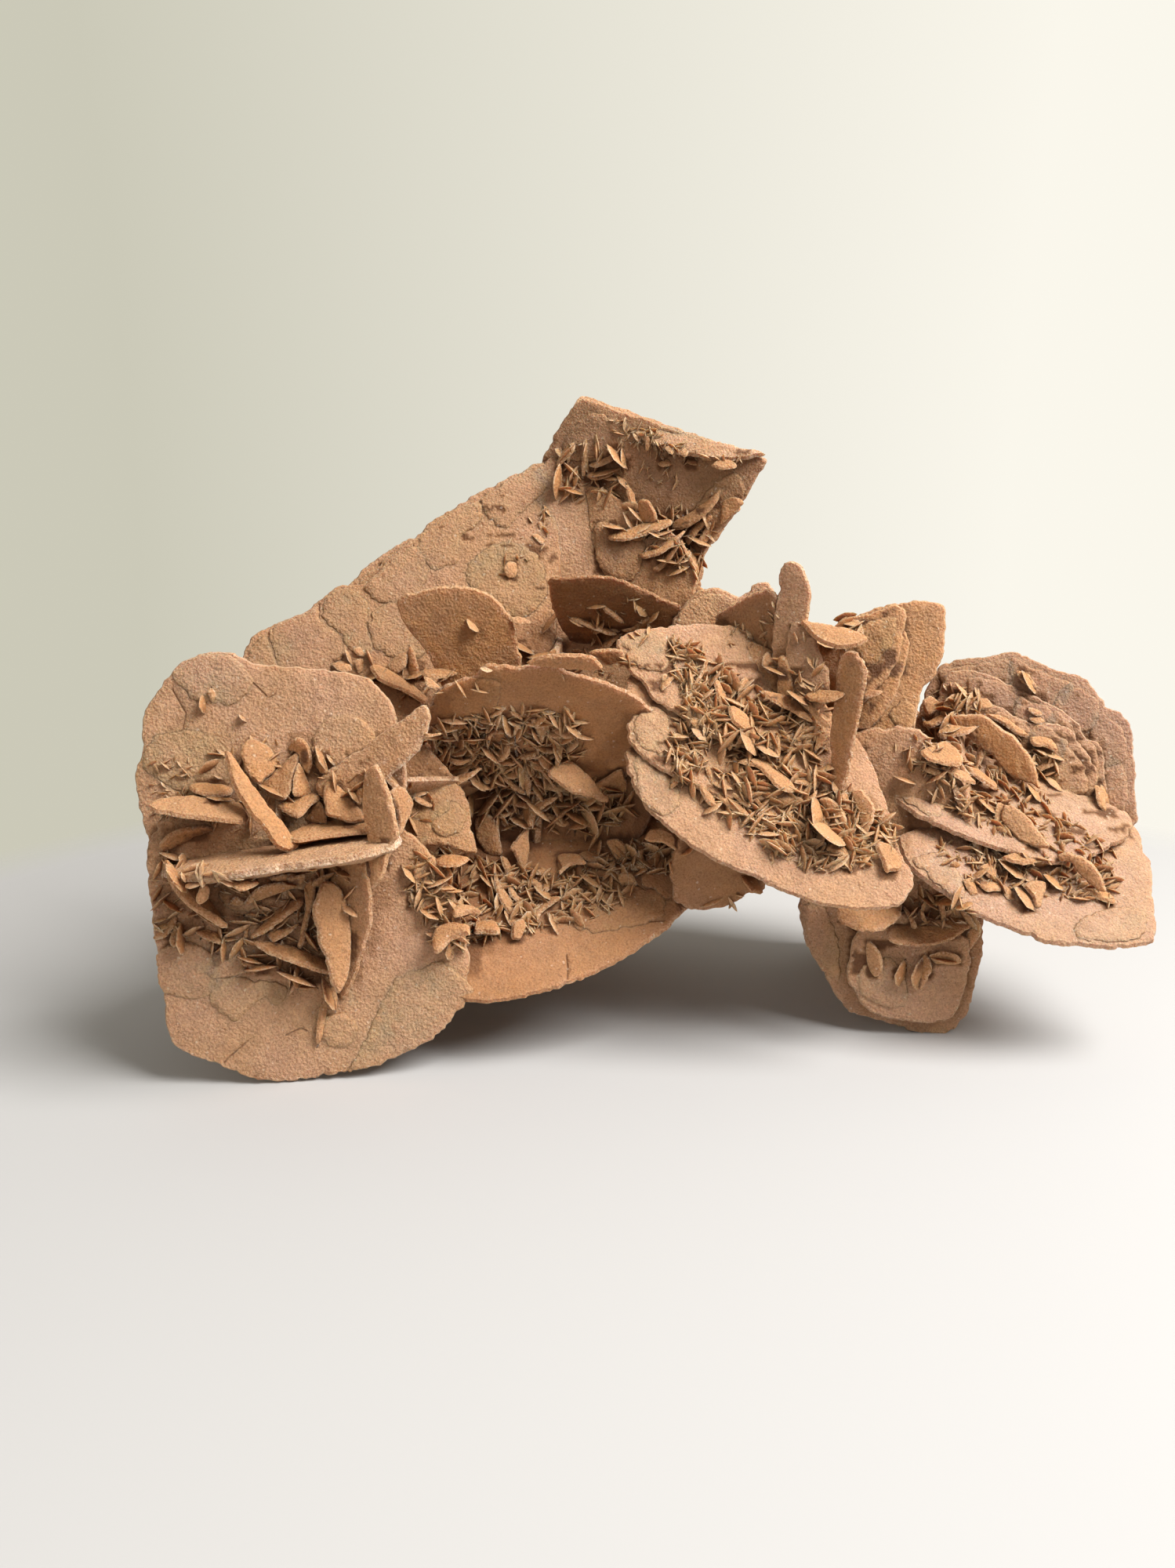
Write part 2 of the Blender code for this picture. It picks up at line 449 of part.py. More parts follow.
def gypsum():
    """Sandy pinkish tan, matt."""
    material = bpy.data.materials.new("sandy_gypsum")
    material.use_nodes = True
    shader = material.node_tree.nodes["Principled BSDF"]
    shader.inputs["Base Color"].default_value = (0.56, 0.33, 0.21, 1.0)
    shader.inputs["Roughness"].default_value = 0.82
    shader.inputs["Metallic"].default_value = 0.0
    return material


def outer_skin(mesh):
    """Delete every island of faces but the widest, so that no gap sealed between plates is left."""
    mesh.faces.ensure_lookup_table()
    unseen = set(mesh.faces)
    islands = []
    while unseen:
        island = set()
        front = [unseen.pop()]
        while front:
            face = front.pop()
            island.add(face)
            near = {other for edge in face.edges for other in edge.link_faces} & unseen
            unseen -= near
            front += near
        islands.append(island)
    islands.sort(key=len)
    for island in islands[:-1]:
        bmesh.ops.delete(mesh, geom=list(island), context="FACES")


def main():
    fresh_scene()
    stone_collection = new_collection("gypsum_sand_rose")
    growth = new_collection("growth")
    growth.hide_render = True
    grow(growth)

    first = growth.objects[0]
    stone = bpy.data.objects.new(STONE_NAME, first.data.copy())
    bpy.data.objects.remove(first)
    stone_collection.objects.link(stone)
    union = stone.modifiers.new("grown_together", "BOOLEAN")
    union.operation = "UNION"
    union.operand_type = "COLLECTION"
    union.collection = growth
    union.solver = "EXACT"

    bpy.context.view_layer.update()
    grown = bpy.data.meshes.new_from_object(stone.evaluated_get(bpy.context.evaluated_depsgraph_get()))
    skin = bmesh.new()
    skin.from_mesh(grown)
    outer_skin(skin)
    skin.to_mesh(grown)
    skin.free()
    stone.modifiers.clear()
    stone.data = grown
    stone.data.materials.append(gypsum())


main()
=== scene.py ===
"""Gypsum sand rose, dressed: thin ragged plates in low relief with blades and crystals on them.

Every outline is drawn in millimetres on an upright board at y = 0, as it looks from one sight
point in front of the stone, and is carried along the sight lines on to the plate's own plane.
A plate's plane is given by a point at a known depth, by its turn (positive faces right) and by
its lean (positive faces up). Points stay in millimetres until a piece is made.
"""

import math
import random

import bpy
import numpy as np
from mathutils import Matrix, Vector, noise
from mathutils.bvhtree import BVHTree
from mathutils.geometry import delaunay_2d_cdt


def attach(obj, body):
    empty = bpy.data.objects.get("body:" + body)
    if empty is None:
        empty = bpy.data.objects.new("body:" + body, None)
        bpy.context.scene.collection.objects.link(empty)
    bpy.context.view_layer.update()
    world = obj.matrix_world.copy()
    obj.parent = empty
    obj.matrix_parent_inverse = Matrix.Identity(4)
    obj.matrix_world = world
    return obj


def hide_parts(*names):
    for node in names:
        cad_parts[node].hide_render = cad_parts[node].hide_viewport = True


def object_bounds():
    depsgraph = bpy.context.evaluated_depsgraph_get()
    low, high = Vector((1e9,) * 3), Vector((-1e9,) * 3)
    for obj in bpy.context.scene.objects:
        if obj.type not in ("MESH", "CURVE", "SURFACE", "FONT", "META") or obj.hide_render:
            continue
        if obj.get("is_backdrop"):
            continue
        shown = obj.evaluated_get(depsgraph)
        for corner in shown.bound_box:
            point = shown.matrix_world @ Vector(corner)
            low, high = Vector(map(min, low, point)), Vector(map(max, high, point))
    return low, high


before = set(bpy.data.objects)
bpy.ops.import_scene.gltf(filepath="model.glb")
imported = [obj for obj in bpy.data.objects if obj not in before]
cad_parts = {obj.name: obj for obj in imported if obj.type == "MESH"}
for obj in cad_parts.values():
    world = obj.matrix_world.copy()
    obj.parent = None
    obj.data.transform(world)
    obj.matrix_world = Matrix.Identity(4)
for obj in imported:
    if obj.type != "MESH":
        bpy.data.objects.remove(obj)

MM = 0.001
SIGHT = np.array((0.0, -326.0, 135.3))  # the point that every outline is drawn from, in mm
CENTRE_SHIFT = np.array((-19.2, -29.4, 0.0))  # mm, puts the origin under the middle of the stone
CAMERA_DOWN = 12.0  # degrees below level
CAMERA_LENS = 30.0
CAMERA_FILM = 36.0  # mm, the tall side of the frame
FRAME_MIDDLE = (749.5, 1000.0)  # in a frame that is 1499 units wide and 2000 tall
FRAME_REACH = 2 * FRAME_MIDDLE[1] * CAMERA_LENS / CAMERA_FILM  # how far the frame is from the sight point
GROWTH_SEED = 11
STONE = "sand_rose"
NEAR_MESH = 1.1  # mm between the points of a plate that faces the front
REAR_MESH = 2.1
LAMELLA_MESH = 0.9
ROUND_SHARE, STRAIGHT_SHARE = 0.8, 0.2  # of the round and the straight way from corner to corner of a rim
RIM_RING = 0.45  # mm in from the rim, where a ring of points rounds it
SWELL = 9.0  # mm in from the rim, where a plate has its full thickness behind
STEP = 0.5  # mm in from the rim, where its front has stepped out
EDGE = 1.3  # mm, the most that the front steps out
CRACK_WIDTH = 0.22  # mm
CRACK_DEPTH = 0.4  # mm
PATCH = 3.5  # mm, the patches that share one measure of how shut in they are
FRONT_PULL = 0.5  # how far the crystals of a field turn their edges to the front
FIELD_SHARE = 0.8  # of a field's crystals, as many as are tried
FIELD_GROWTH = 1.3  # how much larger than its row says a field's crystals are
FEW_LONG = 1.6  # the higher, the fewer long crystals in a field
FIN_MESH = 0.8
FLOOR_SIDES = 96
AMBER_SHADE = 0.8  # how much painted warm shade, in amber, a place gets where it is wholly shut in
GRAZING = 0.35  # a plate whose normal is this square to the sight keeps its rim at mid thickness
HOLLOW = 28.0  # mm, how far off a face still shuts a place in
FINE, MIDDLE, LARGE = 4.0, 10.0, 1000.0  # mm, the longest crystal that each lens below is used for
REAR_CLUSTERS = 120
SHRUNK = 0.92  # how much of its radius a round plate keeps, for its rough rim to stay within the stone's
LAMP_AIM = (0, 0, 0.07)  # m
# The third colour is the dark brown of grains and specks, and of painted shade in hollows, cracks and
# shaded plates.
HONEY, CREAM, DARK_GRAIN_AND_SHADE = (0.61, 0.30, 0.115), (0.84, 0.69, 0.53), (0.10, 0.036, 0.013)
GLOW = 0.35  # how much of the light goes on under the surface
FLOOR_RADIUS = 0.3
FAR_LEFT, FAR_RIGHT, NEAR_ROOM = (0.60, 0.585, 0.48), (0.96, 0.93, 0.84), (0.24, 0.225, 0.205)
CAD_LOW, CAD_HIGH = (np.array(corner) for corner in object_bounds())

# name: (turn, lean, thickness, (board x, board z, depth y), outline)
PLATES = {
    # the pair of broad plates at the left front, the lower one standing on the floor
    "left_foot": (8, 10, 8.0, (-80, -15.5, -31), (
        (-112.5, 52), (-113.4, 30), (-112, 10), (-110.8, -4), (-105.5, -7.7), (-97, -11.5), (-89, -14.6),
        (-80, -15.5), (-68, -13.5), (-55, -9.5), (-43.3, -4.2), (-35.2, 4.7), (-31, 20), (-38, 45),
        (-60, 62), (-95, 64))),
    "left_top": (3, 16, 7.0, (-80, 70, -17), (
        (-115.3, 66), (-113, 74), (-112, 84), (-107.5, 90.5), (-101, 97.6), (-90.5, 100.2), (-82.5, 97),
        (-59.5, 94.5), (-52.5, 91), (-48.5, 84), (-46, 64), (-55, 42), (-85, 38), (-110, 46))),
    "ridge": (-10, 20, 3.6, (-52, 75, -20.5), (
        (-70, 66), (-58, 74.8), (-45, 84.2), (-40.5, 86.5), (-39.5, 82), (-43, 75), (-52, 66), (-63, 60))),
    "inner_left": (20, 18, 4.0, (-45, 62, -9), (
        (-68, 60), (-58, 70), (-48, 75), (-41, 76), (-36, 70), (-31, 63), (-29.5, 54), (-29, 47.7),
        (-39.5, 49.8), (-52, 48), (-64, 50))),
    "shelf": (-78, 82, 3.6, (-79, 45, -37), (
        (-110, 41.8), (-104, 40.0), (-92, 41.0), (-76.8, 43.3), (-62, 45.4), (-49.6, 48.8), (-48.2, 52),
        (-58, 52.2), (-76, 49.6), (-90, 47.2), (-103, 44.6))),
    "left_apron": (6, 20, 3.4, (-97, 20, -30), (
        (-107, 22), (-103, 27), (-94, 28), (-86, 20), (-90.6, 15.1), (-98, 13.4), (-103.4, 16.8),
            (-106.6, 18))),
    "left_wall": (-28, 4, 4.2, (-62, 27, -28), (
        (-66, 47), (-58, 46), (-55.9, 36), (-56.4, 28), (-59, 20), (-64, 8), (-70, 14), (-72, 32))),
    "pink_wall": (34, 6, 4.2, (-56, 24, -22), (
        (-52, 46), (-56.5, 32), (-60, 21), (-64, 8), (-58, 4), (-50, 12), (-44, 26), (-40, 44))),
    # the bowl in the middle
    "bowl_floor": (0, 48, 4.6, (-27, 7, -25), (
        (-51, 41), (-54.4, 23.2), (-55.6, 17.8), (-53, 13.4), (-47.6, 9), (-40, 7.9), (-27.3, 6.8),
        (-16.4, 8.4), (-5.6, 11.5), (3.6, 15.7), (12, 20.7), (20, 26.7), (27.8, 34.6), (35.5, 44.4),
        (38, 55), (20, 64), (-20, 64), (-44, 56))),
    "bowl_lip": (5, -32, 4.0, (-15, 96, -12), (
        (-40.4, 80), (-39.8, 87.3), (-36, 91.4), (-28.6, 94.3), (-24.5, 97), (-17, 96.1), (-10.5, 96.7),
        (-1.5, 94), (9.8, 90.3), (18, 82), (10, 68), (-4, 62), (-25, 66), (-38, 74))),
    "bowl_back": (0, 5, 5.0, (-15, 62, 11), (
        (-50, 46), (-44, 72), (-32, 84), (-16, 88), (6, 80), (18, 62), (6, 44), (-20, 38))),
    # the tall wall that leans back behind them, in two layers
    "back_wall": (6, 22, 6.0, (-45, 100, 30), (
        (-86, 96), (-84, 102.6), (-79.6, 106), (-70, 110), (-61.3, 116), (-54.6, 117), (-46.2, 125.2),
        (-38, 131.8), (-30, 136.8), (-19.8, 141.8), (-11.3, 146), (-8.6, 144.6), (-8.2, 141), (-10, 137.5),
        (-7, 130), (-6.5, 118), (-8, 105), (-10, 84), (-40, 76), (-76, 84))),
    "back_wall_rear": (2, 16, 6.0, (-45, 100, 37), (
        (-64, 110), (-55.6, 119.6), (-48.3, 125.3), (-40, 129), (-16, 141), (-4, 149), (12, 128), (8, 60),
        (-20, 30), (-50, 20), (-74, 44), (-80, 84))),
    "amber_disc": (0, -9, 3.4, (-30, 95, 12), (
        (-47.0, 112.0), (-45.4, 113.9), (-41.6, 115.0), (-36.5, 115.9), (-31.2, 116.1),
            (-26.7, 115.0), (-22.6, 112.6), (-19.4, 109.0),
        (-18.1, 104.8), (-17.0, 100.5), (-16.7, 96.4), (-26.0, 89.9), (-35.6, 89.9), (-40.1, 99.5),
            (-43.6, 104.1), (-46.2, 108.0))),
    # the crest at the top
    "crest": (-12, -4, 7.0, (15, 140, 49), (
        (-0.9, 160.6), (-5.4, 156), (-8.5, 150.7), (-11, 144), (-6, 134), (2, 118), (12, 108), (24, 108),
        (27.5, 117.7), (29.3, 124.3), (34, 130.8), (37.4, 135), (41, 141.7), (43.6, 146), (40, 148),
        (19.8, 154), (8.5, 157.7))),
    "crest_cap": (-6, 34, 6.5, (18, 152, 47), (
        (-1.2, 161), (8.5, 158), (19.8, 154.3), (31.4, 150.3), (43, 147.6), (36, 146), (28, 146.6),
        (20, 148.2), (11, 152), (3, 156), (-3.6, 157))),
    "crest_foot": (-16, 12, 5.0, (10, 125, 43), (
        (-0.3, 139.4), (0.3, 133), (0.5, 129.9), (1.7, 124.5), (3.6, 119.4), (8, 110), (23, 106),
        (27.4, 117), (22, 128), (12, 134), (4, 139.6))),
    "crest_side": (20, -6, 4.0, (32, 130, 52), (
        (29, 140), (37.6, 135.4), (35.1, 132.7), (32.3, 128.2), (29, 123.5), (27.6, 115), (20, 112),
        (20, 128))),
    "eave": (0, -38, 2.8, (5, 108, 32), (
        (-9.6, 117.2), (-3.6, 118.4), (3.5, 118.6), (10.1, 117.2), (18.1, 113.4), (23.6, 110.9),
        (22, 106), (10, 101), (-5, 103))),
    # the near disc at the right of the bowl, in three layers
    "disc_low": (8, 38, 4.6, (45, 65, -8), (
        (9.8, 75), (9.8, 71), (11.1, 66.6), (15, 59.4), (24.7, 50.9), (33.1, 45.5), (40.9, 42.1),
        (47.5, 39), (55.3, 35.6), (63, 33.4), (73, 32.3), (80.9, 33.6), (83.9, 37.6), (84.2, 41.6),
        (80.5, 48.4), (76, 62), (68, 78), (48, 92), (20, 86))),
    "disc_middle": (8, 38, 3.4, (45, 65, -11), (
        (10, 93), (9.7, 88.6), (11.5, 84.5), (9.6, 80.6), (11, 76), (16, 71.2), (20.8, 68.4), (36, 62),
        (58, 64), (62, 84), (42, 98), (15, 98))),
    "disc_top": (8, 38, 3.2, (45, 65, -13.6), (
        (7, 101.4), (8.4, 103.5), (12, 105.2), (18, 105.9), (30, 106.5), (48, 104), (58, 92), (56, 76),
        (36, 76), (20, 85.2), (15.8, 88), (14, 91.7), (10.4, 95))),
    # the bunch that stands on its upper right
    "bunch_back": (-5, 10, 4.0, (34, 105, 28), (
        (20, 104), (24, 111.5), (27.6, 114.9), (33.1, 115.5), (37.4, 113.4), (42.2, 116.8), (45.4, 116.2),
        (49, 108), (46, 90), (24, 90))),
    "bunch_dark": (-38, -10, 3.2, (38, 104, 15), (
        (29.8, 102), (31.8, 108.3), (35, 110.8), (41.7, 114.3), (46.6, 114.6), (50, 100), (42, 90),
            (30, 94))),
    "bunch_lens": (-18, 24, 3.4, (39, 96, 9), (
        (29, 99.6), (34.9, 102.1), (41.4, 102.1), (46.6, 99.6), (50, 90), (38, 86), (30, 92))),
    "bunch_spire": (-26, 2, 3.6, (50, 108, 5), (
        (48.4, 121.6), (47.4, 117), (46.5, 108.2), (46, 100), (48, 88), (54, 88), (55, 108),
        (55.1, 115.4), (53.4, 120.3), (51, 122))),
    "bunch_plate": (-30, 10, 5.4, (55, 98, 1), (
        (50.2, 105.5), (51.8, 107.6), (54.9, 106.6), (57.9, 100.3), (60.6, 95), (60, 86), (52.6, 84),
            (49.4, 96))),
    "fin": (-40, 4, 3.0, (65, 80, -8), (
        (63.5, 98.7), (66, 100.3), (68.3, 99.2), (70, 94), (69.2, 87), (68.3, 80), (67.4, 74), (66.2, 67.5),
        (64.8, 61.5), (63, 60.5), (62, 66.8), (61.6, 75.2), (61.9, 84.7), (62.4, 93))),
    "wing": (-12, 14, 4.2, (78, 92, 9), (
        (62, 106), (66.7, 108.7), (77.5, 112.1), (84.8, 112.2), (88.3, 111.2), (89.3, 107), (89, 100.7),
        (87.2, 94.4), (83.8, 90), (83, 82.8), (82.4, 77.5), (79, 74), (75.4, 67), (70, 66), (64, 84))),
    "wing_near": (-12, 14, 3.4, (78, 92, 5.6), (
        (63, 106.4), (72, 110), (78.3, 111.4), (79, 104), (77.6, 97.6), (74.5, 92.6), (68, 86), (63, 96))),
    "wing_middle": (-12, 14, 3.2, (78, 92, 7.2), (
        (76, 108), (80, 103), (79.6, 96.5), (76.5, 86.7), (70.9, 80), (66, 82), (70, 100))),
    # the plates at the right, the back one in terraces
    "fan_back": (-12, 18, 6.0, (115, 78, 25), (
        (85, 90), (87.7, 95.5), (91.6, 97.6), (98, 98.2), (106, 99.7), (112.9, 97.2), (118.3, 95),
        (124.8, 93.1), (128.7, 89.1), (131, 85.6), (135.1, 84.3), (138, 79.2), (138.6, 73.4),
        (140.3, 62), (139.7, 54), (120, 46), (95, 50), (82, 70))),
    "fan_terrace": (-12, 18, 3.4, (115, 78, 21.6), (
        (90, 94), (99.9, 94.3), (107.1, 91.1), (117.5, 86), (124, 81.7), (126.3, 77.6), (130, 76.5),
        (131.7, 70), (131, 58), (105, 56), (88, 78))),
    "fan_step": (-12, 18, 3.2, (115, 78, 19.2), (
        (90, 88), (103, 86), (110.7, 82.4), (120.9, 81.1), (124.6, 77), (129, 71), (130, 66), (124, 56),
        (100, 58), (90, 74))),
    "apron_top": (14, 54, 5.2, (100, 58, 3), (
        (69, 66.3), (73.2, 64.2), (78.9, 60.9), (85.6, 56.5), (92.2, 53.7), (98.9, 50.8), (105.5, 48.6),
        (114, 46), (126, 45), (139, 52), (138, 58), (124, 64), (108, 70), (92, 76), (83, 72), (76, 68.5))),
    "apron_low": (10, 52, 5.2, (115, 40, -8), (
        (80, 52), (80.8, 48), (83.6, 43.2), (90.1, 38.3), (97.6, 33.1), (104, 29.7), (111.4, 26.7),
        (119.7, 23.4), (130, 22.2), (142.3, 21.9), (148.2, 24), (147.2, 33.7), (146, 43.2),
        (143.2, 48.6), (139.9, 54.8), (124, 60), (104, 60), (90, 56))),
    # the right foot and what hangs over it
    "right_foot": (-3, 4, 7.0, (92, -1.6, -1), (
        (54.9, 37), (55.2, 31), (56.8, 24.6), (60.3, 17.7), (64.1, 11.2), (69.2, 4.4), (75.8, 2.6),
        (82, 0.6), (88.8, -1.6), (95.5, -1.6), (99.2, 1.6), (101.4, 6.5), (102, 13), (103.5, 20), (103, 30),
        (98, 62), (84, 80), (66, 78), (56, 56))),
    "right_foot_near": (-3, 4, 2.8, (80, 14, -4.4), (
        (68.8, 19.5), (68.4, 14), (70.6, 9.5), (75.8, 3.8), (90, 1), (98, 5), (100, 24), (84, 32),
            (71, 27))),
    "right_brow": (4, 56, 2.6, (73, 27, -11), (
        (65, 30.4), (69, 27.4), (74, 26.4), (78, 27.4), (82, 31.4), (80, 37), (66, 37))),
    "right_brow_far": (4, 56, 2.6, (90, 22.6, -9), (
        (79, 24.6), (84, 22.4), (90, 22.4), (96, 24.6), (101, 29), (98, 33), (80, 33))),
    "keel": (6, -12, 4.0, (33, 38, -6), (
        (22, 36), (27, 32.4), (36, 33.6), (42, 36.8), (45.8, 38.4), (46, 50), (24, 52))),
}

# centre (mm, in space), turn, lean, radius, thickness: the plates that only the sides and back show
ROUND_PLATES = {
    "rear_foot": ((-22, 60, 34), 196, 14, 40, 7.5),
    "rear_right_foot": ((92, 54, 27), 160, 10, 29.5, 7.0),
    "rear_left": ((-62, 48, 62), 214, 22, 40, 6.0),
    "rear_left_low": ((-74, 34, 36), 238, -10, 30, 5.0),
    "rear_shoulder": ((4, 70, 92), 182, 30, 41, 6.0),
    "rear_shelf": ((14, 66, 56), 170, 62, 42, 5.5),
    "rear_right": ((62, 56, 76), 152, 34, 36, 6.0),
    "rear_right_low": ((106, 40, 52), 132, 20, 30, 5.5),
    "rear_tilt": ((-24, 78, 66), 205, -18, 27, 4.5),
    "rear_fin": ((38, 78, 62), 100, 8, 26, 4.5),
    "rear_blade": ((-58, 62, 50), 262, 6, 27, 4.5),
    "bind_left": ((-70, 6, 48), 82, 4, 40, 6.5),
    "bind_middle": ((-12, 42, 64), 86, -4, 42, 7.0),
    "bind_centre": ((26, 32, 70), 98, 8, 38, 7.0),
    "bind_right": ((80, 36, 52), 76, 4, 37, 6.5),
    "bind_floor": ((4, 52, 50), 0, 84, 44, 8.0),
    "bind_far_right": ((108, 18, 54), 60, 26, 30, 6.0),
    "sill_left": ((-60, 12, 58), 200, 72, 40, 6.0),
    "sill_right": ((58, 32, 68), 150, 76, 36, 6.0),
}

# the plate that carries them: (ax, az, bx, bz) on the board, breadth, tilt about the length
# (0 is edge on), thickness, and how far the middle stands in front of the plate's middle
BLADES = {
    "left_foot": ((-110, 46.2, -93.6, 27.2, 13, 30, 4.2, 5),),
    "crest": ((4.6, 150, 9.8, 144, 11, 25, 2.0, 5),),
    "disc_middle": ((38.4, 80.6, 43.4, 73.4, 12, 30, 2.4, 4),),
    "disc_low": ((56.4, 57, 66.6, 50, 14, 25, 2.6, 5), (57.4, 62.6, 60.6, 53.4, 13, 30, 2.8, 4)),
    "keel": ((39.4, 42.4, 45.6, 37.2, 12, 30, 4.2, 2),),
}

# name of the piece: the plates in it
PLATE_PIECES = {
    "left_plates": (
        "left_foot", "left_top", "ridge", "inner_left", "shelf", "left_apron", "left_wall", "pink_wall"),
    "bowl_plates": ("bowl_floor", "bowl_lip", "bowl_back", "keel"),
    "wall_plates": ("back_wall", "back_wall_rear", "amber_disc", "eave"),
    "crest_plates": ("crest", "crest_cap", "crest_foot", "crest_side"),
    "near_disc_plates": ("disc_low", "disc_middle", "disc_top"),
    "bunch_plates": (
        "bunch_back", "bunch_dark", "bunch_lens", "bunch_spire", "bunch_plate", "fin", "wing",
        "wing_near", "wing_middle"),
    "fan_plates": ("fan_back", "fan_terrace", "fan_step"),
    "apron_plates": ("apron_top", "apron_low"),
    "foot_plates": ("right_foot", "right_foot_near", "right_brow", "right_brow_far"),
}

# how amber a plate is, from 0 for sandy tan, and how much painted shade darkens it
PLATE_TONES = {
    "bowl_lip": (0.55, 0.12), "amber_disc": (0.7, 0.0), "eave": (0.85, 0.35), "ridge": (0.3, 0.0),
    "inner_left": (0.2, 0.0), "bunch_lens": (0.45, 0.0), "bunch_dark": (0.35, 0.35), "crest": (0.1, 0.25),
    "fin": (0.7, 0.15), "wing": (0.55, 0.0), "wing_near": (0.45, 0.0), "wing_middle": (0.5, 0.0),
    "bowl_floor": (0.35, 0.18), "bowl_back": (0.5, 0.5), "keel": (0.2, 0.35), "right_foot": (0.12, 0.15),
    "right_brow": (0.5, 0.15), "right_brow_far": (0.5, 0.15), "fan_back": (0.1, 0.25),
    "back_wall": (0.2, 0.12), "fan_terrace": (0.12, 0.2), "fan_step": (0.2, 0.1),
    "left_wall": (0.35, 0.1), "crest_foot": (0.15, 0.0),
}

# how white and crumbly a plate's rim is, where it isn't as on most
RIM_FROST = {"shelf": 2.2, "ridge": 1.8, "crest_cap": 1.6, "fin": 1.4, "bowl_lip": 1.6, "bunch_spire": 1.2}

